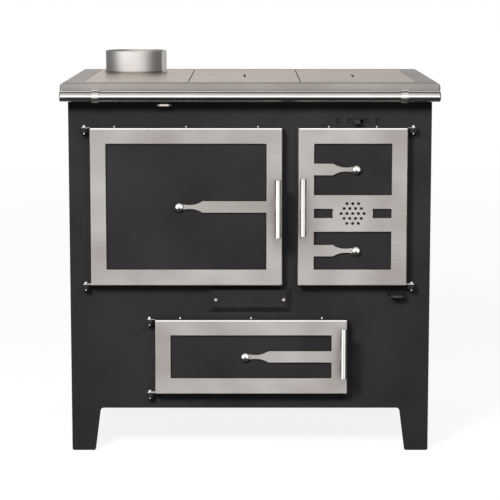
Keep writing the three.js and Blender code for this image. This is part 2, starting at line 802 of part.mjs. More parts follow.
// A strap of even width that narrows to a neck and ends in a disc. It runs from the free side.
function strapShape({ window, side }, z, straight) {
  const start = side < 0 ? window.right : window.left;
  const half = strapWidth / 2;
  const neck = strapNeck / 2;
  const disc = straight + strapDiscAt;
  const meet = THREE.MathUtils.degToRad(strapDiscMeet);
  const pull = straight + strapNeckAt * strapPull;
  const joinX = disc + strapDisc * Math.cos(meet);
  const joinZ = strapDisc * Math.sin(meet);
  const shape = new THREE.Shape();
  shape.moveTo(-beyond, -half);
  shape.lineTo(straight, -half);
  shape.quadraticCurveTo(pull, -neck, straight + strapNeckAt, -neck);
  shape.quadraticCurveTo((straight + strapNeckAt + joinX) / 2, -neck, joinX, -joinZ);
  shape.absarc(disc, 0, strapDisc, -meet, meet);
  shape.quadraticCurveTo((straight + strapNeckAt + joinX) / 2, neck, straight + strapNeckAt, neck);
  shape.quadraticCurveTo(pull, neck, straight, half);
  shape.lineTo(-beyond, half);
  shape.closePath();
  const points = shape.getPoints(5).map((point) => new THREE.Vector2(start + side * point.x, z + point.y));
  return new THREE.Shape(points);
}

function studOn({ window, side }, z, straight) {
  const start = side < 0 ? window.right : window.left;
  const x = start + side * (straight + strapDiscAt);
  return dome([x, fasciaFront - seatGap, z], [0, -1, 0], studRadius, studHeight);
}

function plainWindow(door) {
  const strap = throughFascia(strapShape(door, door.centre, longStrap));
  return [throughFascia(rectShape(door.window)).subtract(strap)];
}

const bandCentre = fireDoor.centre - bandBelowMiddle;
const bandHalf = bandBar + bandSlot / 2;
const upperWindow = { ...fireDoor.window, bottom: bandCentre + bandHalf };
const lowerWindow = { ...fireDoor.window, top: bandCentre - bandHalf };
const fireStrapZs = [upperWindow, lowerWindow].map(({ bottom, top }) => (bottom + top) / 2);

// Two windows with a strap each, and between them a band with two slots and a perforated round.
function fireWindows() {
  const straps = fireStrapZs.map((z) => throughFascia(strapShape(fireDoor, z, shortStrap)));
  const windows = [upperWindow, lowerWindow]
    .map((area, i) => throughFascia(rectShape(area)).subtract(straps[i]));
  const slot = { ...fireDoor.window, bottom: bandCentre - bandSlot / 2, top: bandCentre + bandSlot / 2 };
  const round = new THREE.Shape().absarc(fireDoor.middle, bandCentre, discRadius, 0, Math.PI * 2);
  const slots = throughFascia(rectShape(slot)).subtract(throughFascia(round));
  return [...windows, slots, ...ventHoles()];
}

// Round holes on a triangular grid, in rings about the middle of the disc.
function ventHoles() {
  const holes = [];
  for (let column = -ventRings; column <= ventRings; column += 1) {
    for (let row = -ventRings; row <= ventRings; row += 1) {
      const inRings = Math.abs(column + row) <= ventRings;
      const x = fireDoor.middle + ventPitch * (column + row / 2);
      const z = bandCentre + ventPitch * row * Math.sqrt(3) / 2;
      const ends = [fasciaFront - beyond, fasciaBack + beyond].map((y) => [x, y, z]);
      if (inRings) holes.push(rod(...ends, ventHole, holeSides));
    }
  }
  return holes;
}

function handleBar(door, length, z) {
  const { handleX } = door;
  const bar = rod([handleX, handleY, z - length / 2], [handleX, handleY, z + length / 2], handleRadius);
  const posts = [-1, 1].map((end) => {
    const postZ = z + end * (length / 2 - postFromEnd);
    return rod([handleX, handleY, postZ], [handleX, fasciaFront - seatGap, postZ], postRadius);
  });
  return joined([bar, ...posts]);
}

// Undersides of a door's two ears, where the knuckles carry them.
function earUndersides({ outline }) {
  return [outline.top - fasciaSheet, outline.bottom];
}

// A domed head on the ear and a shaft that goes down through the ear and the knuckle.
function hingePin({ hingeX }, earLow) {
  const y = -hingeSetBack;
  const headZ = earLow + fasciaSheet + seatGap;
  const tipZ = earLow - seatGap - knuckleHeight - pinTip;
  const shaft = rod([hingeX, y, tipZ], [hingeX, y, headZ + pinHeadHeight / 2], pinRadius, pinSides);
  return dome([hingeX, y, headZ], [0, 0, 1], pinHeadRadius, pinHeadHeight).add(shaft);
}

// A door's two knuckles, welded to the front panel.
function hingeKnuckles(door) {
  const { hingeX } = door;
  const y = -hingeSetBack;
  return earUndersides(door).map((low) => {
    const top = low - seatGap;
    const bottom = top - knuckleHeight;
    const web = block([hingeX - knuckleWeb / 2, hingeX + knuckleWeb / 2], [y, sheet / 2], [bottom, top]);
    const bore = rod([hingeX, y, bottom - beyond], [hingeX, y, top + beyond],
      pinRadius + pinClearance, pinSides);
    return rod([hingeX, y, bottom], [hingeX, y, top], knuckleRadius).add(web).subtract(bore);
  });
}

// ---------------------------------------------------------------- clean-out

const coverMiddle = coverBottom + coverHeight / 2;
const cleanOut = {
  left: coverX - cleanOutWidth / 2,
  right: coverX + cleanOutWidth / 2,
  bottom: coverMiddle - cleanOutHeight / 2,
  top: coverMiddle + cleanOutHeight / 2,
};

// A block whose front face is smaller all round than its back.
function frustum(back, bevel, [yFront, yBack]) {
  const front = grown(back, -bevel);
  const ring = ({ left, right, bottom, top }, y) => [
    [left, y, bottom], [right, y, bottom], [right, y, top], [left, y, top],
  ];
  const corners = [...ring(front, yFront), ...ring(back, yBack)].flat();
  const faces = [[0, 1, 2, 3], [5, 4, 7, 6], [4, 5, 1, 0], [1, 5, 6, 2], [3, 2, 6, 7], [4, 0, 3, 7]];
  const geometry = new THREE.BufferGeometry();
  geometry.setAttribute('position', new THREE.Float32BufferAttribute(corners, 3));
  geometry.setIndex(faces.flatMap(([a, b, c, d]) => [a, b, c, a, c, d]));
  return toSolid(geometry);
}

function cleanoutCover() {
  const outer = {
    left: coverX - coverWidth / 2,
    right: coverX + coverWidth / 2,
    bottom: coverBottom,
    top: coverBottom + coverHeight,
  };
  const front = -seatGap - coverDepth;
  const tray = frustum(outer, coverBevel, [front, -seatGap]);
  const hollow = frustum(grown(outer, -panSheet), coverBevel, [front + panSheet, -seatGap + panSheet]);
  return tray.subtract(hollow);
}

function cleanoutScrew(side) {
  const place = [coverX + side * coverScrewX, -coverDepth - 2 * seatGap, coverMiddle];
  return dome(place, [0, -1, 0], coverScrewRadius, coverScrewHeight);
}

// ---------------------------------------------------------------- oven

const ovenOpening = ovenDoor.opening;
const ovenBack = innerBack - rearWayDepth;
const rackBottom = ovenOpening.bottom + rackHeight;

function openBox({ left, right, bottom, top }, back, wall) {
  return shellOf([[left - wall, right + wall], [innerFront, back + wall], [bottom - wall, top + wall]],
    [[left, right], [innerFront - beyond, back], [bottom, top]]);
}

// Angles welded to the oven's side walls, at three levels.
function rackRunners() {
  const pieces = [];
  const length = [innerFront + runnerReach, ovenBack - runnerReach];
  for (let level = 0; level < runnerLevels; level += 1) {
    const top = rackBottom - seatGap + (level - 1) * runnerPitch;
    [-1, 1].forEach((side) => {
      const wall = side < 0 ? ovenOpening.left : ovenOpening.right;
      const shelf = ordered(wall + side * ovenSheet / 2, wall - side * runnerReach);
      const leg = ordered(wall + side * ovenSheet / 2, wall - side * runnerSheet);
      pieces.push(block(shelf, length, [top - runnerSheet, top]));
      pieces.push(block(leg, length, [top - runnerHeight, top]));
    });
  }
  return pieces;
}

function ovenBox() {
  return joined([openBox(ovenOpening, ovenBack, ovenSheet), ...rackRunners()]);
}

function ovenRack() {
  const left = ovenOpening.left + runnerSheet + slideGap;
  const right = ovenOpening.right - runnerSheet - slideGap;
  const depth = [rackFromDoor, ovenBack - rackFromBack];
  const height = [rackBottom, rackBottom + rackThickness];
  const pitch = (right - left - rackBar) / rackBars;
  const gaps = [];
  for (let i = 0; i < rackBars; i += 1) {
    const x = left + rackBar + i * pitch;
    gaps.push(block([x, x + pitch - rackBar], [depth[0] + rackBar, depth[1] - rackBar],
      [height[0] - beyond, height[1] + beyond]));
  }
  return cutBy(block([left, right], depth, height), gaps);
}

// ---------------------------------------------------------------- firebox

const fireOpening = fireDoor.opening;
const brickFront = keeperBack + slideGap;
const brickBack = innerBack - shellFromBack - shellSheet - 2 * seatGap - brickThickness;
const brickTop = ledgeBottom - gasPassage;
const wallLeft = fireOpening.left - brickThickness - seatGap;
const wallRight = fireOpening.right + brickThickness + seatGap;
const shellLeft = wallLeft - shellSheet;
const shellBack = brickBack + brickThickness + 2 * seatGap;
const fireFloor = fireOpening.bottom;
const grateBottom = fireFloor + grateAboveFloor;
const ashPanBack = brickBack - ashPanFromBack;
const airFloor = airPullZ + pullThickness / 2 + seatGap;

function airHole(y, height) {
  return block([airPullX - airHoleWidth / 2, airPullX + airHoleWidth / 2], [y, y + airHoleLength], height);
}

// The steel box that the bricks stand in, with an air space under its floor. Its left wall stops
// above the bricks, which leaves the way by which the smoke goes over the oven.
function fireboxShell() {
  const top = ledgeBottom - seatGap;
  const across = [shellLeft, wallRight + shellSheet];
  const depth = [innerFront, shellBack + shellSheet];
  const gasTop = brickTop + shellSheet + slideGap;
  const rightWall = block([wallRight, wallRight + shellSheet], depth, [airFloor, top]);
  const leftWall = block([shellLeft, wallLeft], [innerFront, innerBack], [airFloor, gasTop]);
  const backDepth = [shellBack, shellBack + shellSheet];
  const backWall = block(across, backDepth, [airFloor, gasTop])
    .add(block([wallLeft, wallRight + shellSheet], backDepth, [gasTop - slideGap, top]));
  const floor = block(across, depth, [fireFloor - shellSheet, fireFloor]);
  const lowerFloor = block(across, depth, [airFloor, airFloor + shellSheet]);
  const airWay = block([fireOpening.left + brickThickness, fireOpening.right - brickThickness],
    [ashPanBack + slideGap, brickBack - brickLedge - slideGap],
    [fireFloor - shellSheet - beyond, fireFloor + beyond]);
  const inlet = airHole(airHoleFromFront, [airFloor - beyond, airFloor + shellSheet + beyond]);
  return cutBy(joined([rightWall, leftWall, backWall, floor, lowerFloor, ...airGuides()]), [airWay, inlet]);
}

// Angled rails under the shell that hold the primary air plate.
function airGuides() {
  const length = [innerFront + airTravel, innerFront + airTravel + airPlateLength];
  const under = airPullZ - pullThickness / 2 - seatGap;
  return [-1, 1].map((side) => {
    const edge = airPullX + side * (airPlateWidth / 2 + seatGap);
    const wall = ordered(edge, edge + side * guideSheet);
    const lip = ordered(edge - side * guideLip, edge + side * guideSheet);
    return block(wall, length, [under - guideSheet, airFloor + shellSheet / 2])
      .add(block(lip, length, [under - guideSheet, under]));
  });
}

// Bricks along one side of the fire, cemented: a thick lower course carries the grate.
function sideBricks(side) {
  const outer = side < 0 ? fireOpening.left - brickThickness : fireOpening.right + brickThickness;
  const depth = [brickFront, brickBack];
  const thin = ordered(outer, outer - side * brickThickness);
  const thick = ordered(outer, outer - side * (brickThickness + brickLedge));
  const upper = block(thin, depth, [fireFloor + seatGap, brickTop]);
  const lower = block(thick, depth, [fireFloor + seatGap, grateBottom - seatGap]);
  const upperFace = outer - side * brickThickness;
  const lowerFace = upperFace - side * brickLedge;
  const middle = (brickFront + brickBack) / 2;
  const joint = [middle - brickJoint / 2, middle + brickJoint / 2];
  return cutBy(upper.add(lower), [
    block(ordered(upperFace + side * brickJoint, lowerFace), joint,
      [grateBottom - seatGap, brickTop + beyond]),
    block(ordered(lowerFace + side * brickJoint, lowerFace - side), joint, [fireFloor, grateBottom]),
  ]);
}

function backBricks() {
  const front = brickBack + seatGap;
  const across = [fireOpening.left - brickThickness, fireOpening.right + brickThickness];
  const wall = block(across, [front, front + brickThickness], [fireFloor + seatGap, brickTop]);
  const joint = [fireDoor.middle - brickJoint / 2, fireDoor.middle + brickJoint / 2];
  return wall.subtract(block(joint, [front - beyond, front + brickJoint], [fireFloor, brickTop + beyond]));
}

function fireGrate() {
  const x = [fireOpening.left + slideGap, fireOpening.right - slideGap];
  const y = [brickFront, brickBack - slideGap];
  const z = [grateBottom, grateBottom + grateThickness];
  const pitch = (x[1] - x[0] - 2 * grateRim + grateSlotWidth) / grateSlots;
  const slots = [];
  for (let i = 0; i < grateSlots; i += 1) {
    const left = x[0] + grateRim + i * pitch;
    slots.push(block([left, left + grateSlotWidth], [y[0] + grateRim, y[1] - grateRim],
      [z[0] - beyond, z[1] + beyond]));
  }
  return cutBy(block(x, y, z), slots);
}

function ashPan() {
  const side = brickLedge + ashSideGap;
  const x = [fireOpening.left + side, fireOpening.right - side];
  const y = [ashPanFromDoor, ashPanBack];
  const z = [fireFloor + seatGap, fireFloor + seatGap + ashPanHeight];
  const inner = [x, y].map(([low, high]) => [low + ashPanSheet, high - ashPanSheet]);
  const tray = shellOf([x, y, z], [...inner, [z[0] + ashPanSheet, z[1] + beyond]]);
  const lip = block([fireDoor.middle - ashPanHeight / 2, fireDoor.middle + ashPanHeight / 2],
    [y[0] - ashPanLip, y[0] + ashPanSheet / 2], [z[1] - 2 * ashPanSheet, z[1]]);
  return tray.add(lip);
}

// ---------------------------------------------------------------- smoke passages and their valves

const dividerTop = ovenOpening.top + ovenSheet + slideGap;
const valveDepth = [flueBoxFront - seatGap - sheet, flueBoxFront - seatGap];

// The floor of the passage under the oven, turned up at the firebox side.
function smokeFloor() {
  const right = shellLeft - seatGap;
  const plate = block([-innerHalf, right], [innerFront, innerBack], [smokeFloorTop - sheet, smokeFloorTop]);
  const flange = block([right - sheet, right], [innerFront, innerBack],
    [smokeFloorTop - sheet, smokeFloorTop + smokeFlange]);
  return plate.add(flange);
}

// Closes the space behind the oven at the top, except below the flue box.
function smokeDivider() {
  const plate = block([-innerHalf, shellLeft - seatGap], [ovenBack + ovenSheet + seatGap, innerBack],
    [dividerTop - sheet, dividerTop]);
  const hole = block([flueBoxLeft + dividerHoleInset, flueBoxRight - dividerHoleInset],
    [ovenBack + ovenSheet + dividerHoleInset, innerBack - dividerHoleInset],
    [dividerTop - sheet - beyond, dividerTop + beyond]);
  return plate.subtract(hole);
}

function flueBox() {
  const z = [dividerTop + seatGap, ledgeBottom - seatGap];
  const innerX = [flueBoxLeft + flueBoxSheet, flueBoxRight - flueBoxSheet];
  const innerY = [flueBoxFront + flueBoxSheet, innerBack + beyond];
  const walls = shellOf([[flueBoxLeft, flueBoxRight], [flueBoxFront, innerBack], z],
    [innerX, innerY, [z[0] - beyond, z[1] + beyond]]);
  const bypass = block([damperX - bypassWidth / 2, damperX + bypassWidth / 2],
    [flueBoxFront - beyond, flueBoxFront + flueBoxSheet + beyond],
    [damperZ - bypassHeight / 2, damperZ + bypassHeight / 2]);
  return walls.subtract(bypass);
}

// A flat bar with chamfered front corners and a hole for the lifting hook.
function pullBar(x, z, yEnd) {
  const half = pullWidth / 2;
  const front = -pullShow;
  const shape = new THREE.Shape();
  shape.moveTo(x - half, yEnd);
  shape.lineTo(x - half, front + pullChamfer);
  shape.lineTo(x - half + pullChamfer, front);
  shape.lineTo(x + half - pullChamfer, front);
  shape.lineTo(x + half, front + pullChamfer);
  shape.lineTo(x + half, yEnd);
  shape.closePath();
  const height = [z - pullThickness / 2, z + pullThickness / 2];
  const holeY = front + pullShow / 2;
  return planSlab(shape, height)
    .subtract(rod([x, holeY, height[0] - beyond], [x, holeY, height[1] + beyond], pullHole));
}

// Pushed in, the plate at the end of the bar shuts the bypass in the flue box.
function damperValve() {
  const halfWidth = bypassWidth / 2 + valveLap;
  const halfHeight = bypassHeight / 2 + valveLap;
  const plate = block([damperX - halfWidth, damperX + halfWidth], valveDepth,
    [damperZ - halfHeight, damperZ + halfHeight]);
  return pullBar(damperX, damperZ, valveDepth[1]).add(plate);
}

// Pushed in, the plate shuts the air hole. Pulled out by the travel, its own hole is under it.
function primaryAirSlide() {
  const front = innerFront + airTravel + slideGap;
  const height = [airPullZ - pullThickness / 2, airPullZ + pullThickness / 2];
  const plate = block([airPullX - airPlateWidth / 2, airPullX + airPlateWidth / 2],
    [front, front + airPlateLength], height);
  const hole = airHole(airHoleFromFront + airTravel, [height[0] - beyond, height[1] + beyond]);
  return pullBar(airPullX, airPullZ, front + beyond).add(plate).subtract(hole);
}

// ---------------------------------------------------------------- storage compartment

// An open-fronted box on its own side walls, which run down to the base plate.
function storageBox() {
  const { left, right, bottom } = storageDoor.opening;
  const back = innerFront + storageDepth;
  const foot = [baseTop + seatGap, bottom];
  const depth = [innerFront, back + storageSheet];
  return openBox(storageDoor.opening, back, storageSheet)
    .add(block([left - storageSheet, left], depth, foot))
    .add(block([right, right + storageSheet], depth, foot));
}

// ---------------------------------------------------------------- the stove

const sides = [['left', -1], ['right', 1]];

addPiece('front_panel', blackPaint, frontPanel());
addPiece('left_side_panel', blackPaint, sidePanel(-1));
addPiece('right_side_panel', blackPaint, sidePanel(1));
addPiece('back_panel', blackPaint, backPanel());
addPiece('base_plate', blackPaint, basePlate());
addPiece('top_frame', stainless, topFrame());
addPiece('flue_plate', worktopSteel, fluePlate());
addPiece('centre_cook_plate', worktopSteel,
  plateBetween(firstSeam, secondSeam).subtract(liftingSlot(firstSeam, secondSeam)));
addPiece('right_cook_plate', worktopSteel,
  plateBetween(secondSeam, platesRight).subtract(liftingSlot(secondSeam, platesRight)));
addPiece('flue_collar', stainless, flueCollar());
addPiece('towel_rail', polished, towelRail());
sides.forEach(([name, side]) => addPiece(`rail_end_cap_${name}`, polished, railEndCap(side)));
sides.forEach(([name, side]) => addPiece(`rail_strap_${name}`, stainless, railStrap(side)));

addPiece('oven_door_pan', blackPaint, doorPan(ovenDoor));
addPiece('oven_door_liner', darkSteel, doorLiner(ovenDoor));
addPiece('oven_door_rope', rope, doorRope(ovenDoor));
addPiece('oven_door_fascia', stainless, fascia(ovenDoor, plainWindow(ovenDoor)));
addPiece('oven_door_stud', polished, studOn(ovenDoor, ovenDoor.centre, longStrap));
addPiece('oven_door_handle', polished, handleBar(ovenDoor, handleLength, ovenDoor.centre));
addHingePins('oven', ovenDoor);

addPiece('fire_door_pan', blackPaint, doorPan(fireDoor));
addPiece('fire_door_liner', castIron, doorLiner(fireDoor));
addPiece('fire_door_rope', rope, doorRope(fireDoor));
addPiece('fire_door_fascia', stainless, fascia(fireDoor, fireWindows()));
addPiece('fire_door_stud_upper', polished, studOn(fireDoor, fireStrapZs[0], shortStrap));
addPiece('fire_door_stud_lower', polished, studOn(fireDoor, fireStrapZs[1], shortStrap));
addPiece('fire_door_handle', polished,
  handleBar(fireDoor, handleLength, fireDoor.centre + fireHandleRise));
addHingePins('fire', fireDoor);

addPiece('storage_door_pan', blackPaint, doorPan(storageDoor));
addPiece('storage_door_liner', darkSteel, doorLiner(storageDoor));
addPiece('storage_door_fascia', stainless, fascia(storageDoor, plainWindow(storageDoor)));
addPiece('storage_door_stud', polished, studOn(storageDoor, storageDoor.centre, longStrap));
addPiece('storage_door_handle', polished,
  handleBar(storageDoor, storageHandleLength, storageDoor.centre + storageHandleRise));
addHingePins('storage', storageDoor);

addPiece('air_register_slide', blackPaint, airRegisterSlide());
addPiece('air_register_knob', blackPlastic, airRegisterKnob());
addPiece('damper_valve', darkSteel, damperValve());
addPiece('primary_air_slide', darkSteel, primaryAirSlide());
addPiece('cleanout_cover', blackPaint, cleanoutCover());
sides.forEach(([name, side]) => addPiece(`cleanout_screw_${name}`, darkSteel, cleanoutScrew(side)));

addPiece('oven_box', darkSteel, ovenBox());
addPiece('oven_rack', polished, ovenRack());
addPiece('smoke_floor', darkSteel, smokeFloor());
addPiece('smoke_divider', darkSteel, smokeDivider());
addPiece('flue_box', darkSteel, flueBox());
addPiece('firebox_shell', darkSteel, fireboxShell());
addPiece('firebrick_left', firebrick, sideBricks(-1));
addPiece('firebrick_right', firebrick, sideBricks(1));
addPiece('firebrick_back', firebrick, backBricks());
addPiece('fire_grate', castIron, fireGrate());
addPiece('ash_pan', darkSteel, ashPan());
addPiece('storage_box', darkSteel, storageBox());

// The origin is the middle of the bounding box: handles at the front, worktop at the back.
stove.position.y = -(worktopBack + handleY - handleRadius) / 2;

export default stove;
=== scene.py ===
# %% [markdown]
# A wood-burning cookstove is dressed here around its CAD frame. The frame brings every sheet, door
# and joint in its true place, in metres. Blender adds what makes them look real: the finish of each
# metal, and the small shapes that catch light, such as folded edges and domed studs.

# %% Load the frame
import math
from collections import namedtuple

import bmesh
import bpy
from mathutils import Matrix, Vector


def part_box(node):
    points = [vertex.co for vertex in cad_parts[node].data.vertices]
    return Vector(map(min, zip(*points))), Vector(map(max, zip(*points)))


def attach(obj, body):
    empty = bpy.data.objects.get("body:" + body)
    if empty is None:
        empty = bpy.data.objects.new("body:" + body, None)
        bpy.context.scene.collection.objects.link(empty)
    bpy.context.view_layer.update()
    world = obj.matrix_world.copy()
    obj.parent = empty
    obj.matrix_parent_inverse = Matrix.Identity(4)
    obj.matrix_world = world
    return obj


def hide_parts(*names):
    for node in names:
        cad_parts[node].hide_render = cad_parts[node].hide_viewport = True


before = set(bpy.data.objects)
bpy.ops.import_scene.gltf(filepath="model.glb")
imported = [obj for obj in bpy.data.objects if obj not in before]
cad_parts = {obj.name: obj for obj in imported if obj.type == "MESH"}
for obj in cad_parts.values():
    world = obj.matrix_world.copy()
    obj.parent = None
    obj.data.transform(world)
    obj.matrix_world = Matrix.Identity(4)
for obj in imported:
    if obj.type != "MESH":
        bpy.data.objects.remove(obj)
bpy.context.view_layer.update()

# %% [markdown]
# Sizes are in millimetres, as on a drawing, and one value turns them to metres. Places are measured
# on the CAD nodes and not typed in again, so each piece fits the node that it stands for.

# %% Units
MM = 0.001


def box_of(node_name):
    """Lowest and highest corner of a CAD node, in millimetres."""
    low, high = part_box(node_name)
    return low / MM, high / MM


def middle_of(low, high):
    """The point halfway between two corners, as three numbers."""
    return [(a + b) / 2 for a, b in zip(low, high)]


# %% [markdown]
# The camera stands 4.6 m away, above the worktop, and looks down by 8.3 degrees. It could be placed
# by eye, but it was worked out from the worktop's four corners in the photograph, so that the top
# tapers towards the back as much as it does there.

# %% Camera
CAMERA_PLACE = (0.0, -4.6104, 1.1036)
CAMERA_TILT = 81.702
CAMERA_LENS = 138.96

camera_data = bpy.data.cameras.new("camera")
camera_data.lens = CAMERA_LENS
camera_data.sensor_width = 36.0
camera = bpy.data.objects.new("camera", camera_data)
camera.location = CAMERA_PLACE
camera.rotation_euler = (math.radians(CAMERA_TILT), 0.0, 0.0)
bpy.context.scene.collection.objects.link(camera)
bpy.context.scene.camera = camera
print("camera:", CAMERA_PLACE, "lens", CAMERA_LENS)

# %% [markdown]
# Materials are built from shader nodes, which could be joined by hand in the node editor. Here one
# small function adds a node, sets its values and joins its inputs, and one turns an sRGB hex colour
# into the linear light that shaders work with.

# %% Node and colour helpers


def linear(hex_colour):
    """An sRGB hex colour as linear red, green, blue and alpha."""
    parts = [int(hex_colour[i:i + 2], 16) / 255 for i in (1, 3, 5)]
    light = [c / 12.92 if c <= 0.04045 else ((c + 0.055) / 1.055) ** 2.4 for c in parts]
    return (*light, 1.0)


def add_node(tree, kind, values=None, links=None):
    """Adds a node. values are settings or inputs by name or number, links are outputs by input."""
    made = tree.nodes.new(kind)
    for name, value in (values or {}).items():
        if isinstance(name, str) and hasattr(made, name):
            setattr(made, name, value)
        else:
            made.inputs[name].default_value = value
    for name, source in (links or {}).items():
        tree.links.new(source, made.inputs[name])
    return made


def math_node(tree, operation, first, second=0.0):
    """One sum on two sockets, or on a socket and a number."""
    values, links = {"operation": operation}, {0: first}
    if isinstance(second, (int, float)):
        values[1] = second
    else:
        links[1] = second
    return add_node(tree, "ShaderNodeMath", values, links).outputs[0]


print("white in linear light:", linear("#FFFFFF"))

# %% [markdown]
# The photograph stands on pure white. A white floor would wash out the stove's shadow, so this one
# is an ordinary grey matt surface with just enough glow to look white to the camera. Metal doesn't
# see it at all: what polished steel reflects from below is painted into the world light, so that a
# high and a low handle look alike.

# %% Floor
FLOOR_SIZE = 60.0
FLOOR_DROP = 0.0005                    # keeps the floor clear of the feet
WHITE_NEAR, WHITE_FAR = 0.87, 0.97     # what the grey floor lacks to look white
NEAR, FAR = 1.5, 9.0                   # metres from the stove

bpy.ops.object.select_all(action="DESELECT")
bpy.ops.mesh.primitive_plane_add(size=FLOOR_SIZE, location=(0, 0, -FLOOR_DROP))
floor = bpy.context.active_object
floor.name = "studio_floor"
floor.visible_glossy = False

floor_paint = bpy.data.materials.new("pale_studio_floor")
floor_paint.use_nodes = True
tree = floor_paint.node_tree
tree.nodes.clear()
place = add_node(tree, "ShaderNodeTexCoord")
away = add_node(tree, "ShaderNodeVectorMath", {"operation": "LENGTH"},
                {0: place.outputs["Object"]})
whiter = add_node(tree, "ShaderNodeMapRange", {"From Min": NEAR, "From Max": FAR,
                                               "To Min": WHITE_NEAR, "To Max": WHITE_FAR},
                  {"Value": away.outputs["Value"]})
path = add_node(tree, "ShaderNodeLightPath").outputs
seen = math_node(tree, "MAXIMUM", path["Is Camera Ray"], path["Is Transmission Ray"])
glow = math_node(tree, "MULTIPLY", seen, whiter.outputs["Result"])
matt = add_node(tree, "ShaderNodeBsdfDiffuse", {"Color": linear("#8F8D8A")})
white = add_node(tree, "ShaderNodeEmission", {"Color": linear("#FFFFFF")}, {"Strength": glow})
lit = add_node(tree, "ShaderNodeAddShader", {}, {0: matt.outputs[0], 1: white.outputs[0]})
add_node(tree, "ShaderNodeOutputMaterial", {}, {"Surface": lit.outputs[0]})
floor.data.materials.append(floor_paint)
print("floor:", FLOOR_SIZE, "m wide")

# %% [markdown]
# Steel shows what stands round it, so a product photographer builds the reflections first. Panels
# could be modelled and lit, but here they are painted into the world by direction, which gives no
# noise. Metal sees a wide bright screen in front, a grey ceiling and a dark floor. The screen ends
# softly at both sides, and is dark where a camera's stand would be.

# %% What metal sees in front
SCREEN, SIDES = 2.35, 0.10
# What a ray that rises by so many degrees meets in front, as a share of the screen's light
BANDS = ((-90, 0.05), (-25, 0.06), (-18, 1.0), (14, 1.0), (23, 0.5), (46, 0.38),
         (62, 0.32), (80, 0.14), (90, 0.12))
LEFT_EDGE, RIGHT_EDGE = (-1.65, -0.65), (0.2, 1.3)     # radians round from the front
STAND_EDGE, STAND_TOP, STAND_DARK = (0.14, 0.32), (-0.10, -0.06), 0.8


def step(tree, source, edge, low, high):
    """A smooth step from low to high as the source crosses the edge, given as two values."""
    node = add_node(tree, "ShaderNodeMapRange",
                    {"interpolation_type": "SMOOTHSTEP", "From Min": edge[0], "From Max": edge[1],
                     "To Min": low, "To Max": high}, {"Value": source})
    return node.outputs["Result"]


world = bpy.data.worlds.new("studio")
bpy.context.scene.world = world
world.use_nodes = True
tree = world.node_tree
tree.nodes.clear()
direction = add_node(tree, "ShaderNodeTexCoord").outputs["Generated"]
axes = add_node(tree, "ShaderNodeSeparateXYZ", {}, {0: direction}).outputs
turned = math_node(tree, "ARCTAN2", axes["X"], math_node(tree, "MULTIPLY", axes["Y"], -1.0))
height = add_node(tree, "ShaderNodeMapRange", {"From Min": -1.0, "From Max": 1.0},
                  {"Value": axes["Z"]})
bands = add_node(tree, "ShaderNodeValToRGB", {}, {"Fac": height.outputs["Result"]})
stops = bands.color_ramp.elements
while len(stops) < len(BANDS):
    stops.new(0.5)
for stop, (angle, share) in zip(stops, BANDS):
    stop.position = (math.sin(math.radians(angle)) + 1) / 2
    stop.color = (share, share, share, 1.0)

across = math_node(tree, "MULTIPLY", step(tree, turned, LEFT_EDGE, SIDES, 1.0),
                   step(tree, turned, RIGHT_EDGE, 1.0, SIDES))
screen = math_node(tree, "MULTIPLY", bands.outputs["Color"],
                   math_node(tree, "MULTIPLY", across, SCREEN))
stand = math_node(tree, "MULTIPLY",
                  step(tree, math_node(tree, "ABSOLUTE", turned), STAND_EDGE, STAND_DARK, 0.0),
                  step(tree, axes["Z"], STAND_TOP, 1.0, 0.0))
beside_stand = math_node(tree, "SUBTRACT", math_node(tree, "MULTIPLY", stand, -1.0), -1.0)
screen = math_node(tree, "MULTIPLY", screen, beside_stand)
print("bands of light:", len(BANDS))

# %% [markdown]
# Behind the stove stands a white wall, a little brighter at the left, which lights the worktop and
# the upper side of the rail. To the camera the world is plain white. Matt surfaces get a weak light
# from the front and a stronger one from behind, which opens up the back and the sides.

# %% What metal sees behind, and light for the rest
WALL = 1.06
WALL_FROM, WALL_SIDES = (0.15, 0.6), (0.25, 0.55)      # as y and x of a direction
WALL_TURN, WALL_LEFT, WALL_RIGHT = (-0.16, 0.16), 1.22, 0.84
FILL_FRONT, FILL_BACK, FILL_TURN = 0.03, 0.34, (-0.4, 0.2)

behind = math_node(tree, "MULTIPLY", step(tree, axes["Y"], WALL_FROM, 0.0, WALL),
                   step(tree, math_node(tree, "ABSOLUTE", axes["X"]), WALL_SIDES, 1.0, 0.0))
behind = math_node(tree, "MULTIPLY", behind,
                   step(tree, axes["X"], WALL_TURN, WALL_LEFT, WALL_RIGHT))
studio = math_node(tree, "MAXIMUM", screen, behind)
path = add_node(tree, "ShaderNodeLightPath").outputs
soft = step(tree, axes["Y"], FILL_TURN, FILL_FRONT, FILL_BACK)
fill = add_node(tree, "ShaderNodeMix", {"data_type": "FLOAT"},
                {0: path["Is Glossy Ray"], 2: soft, 3: studio})
seen = math_node(tree, "MAXIMUM", path["Is Camera Ray"], path["Is Transmission Ray"])
level = math_node(tree, "MAXIMUM", fill.outputs[0], seen)
sky = add_node(tree, "ShaderNodeBackground", {"Color": linear("#FFFFFF")}, {"Strength": level})
add_node(tree, "ShaderNodeOutputWorld", {}, {"Surface": sky.outputs[0]})
print("world nodes:", len(tree.nodes))

# %% [markdown]
# Two soft lamps light the paint. The stronger one stands to the left above the camera and throws
# the dark shadows below and to the right of the doors and under the towel rail. A weaker one in
# front keeps the rest open. Metal doesn't see them, as a lamp would show as a bright square in it.

# %% Lamps


def soft_lamp(name, place, target, size, watts):
    """A square area lamp of that size in metres that faces the target."""
    data = bpy.data.lights.new(name, "AREA")
    data.shape = "SQUARE"
    data.size = size
    data.energy = watts
    lamp = bpy.data.objects.new(name, data)
    lamp.location = place
    lamp.rotation_euler = (Vector(target) - Vector(place)).to_track_quat("-Z", "Y").to_euler()
    lamp.visible_glossy = False
    bpy.context.scene.collection.objects.link(lamp)
    print(name, watts, "W")


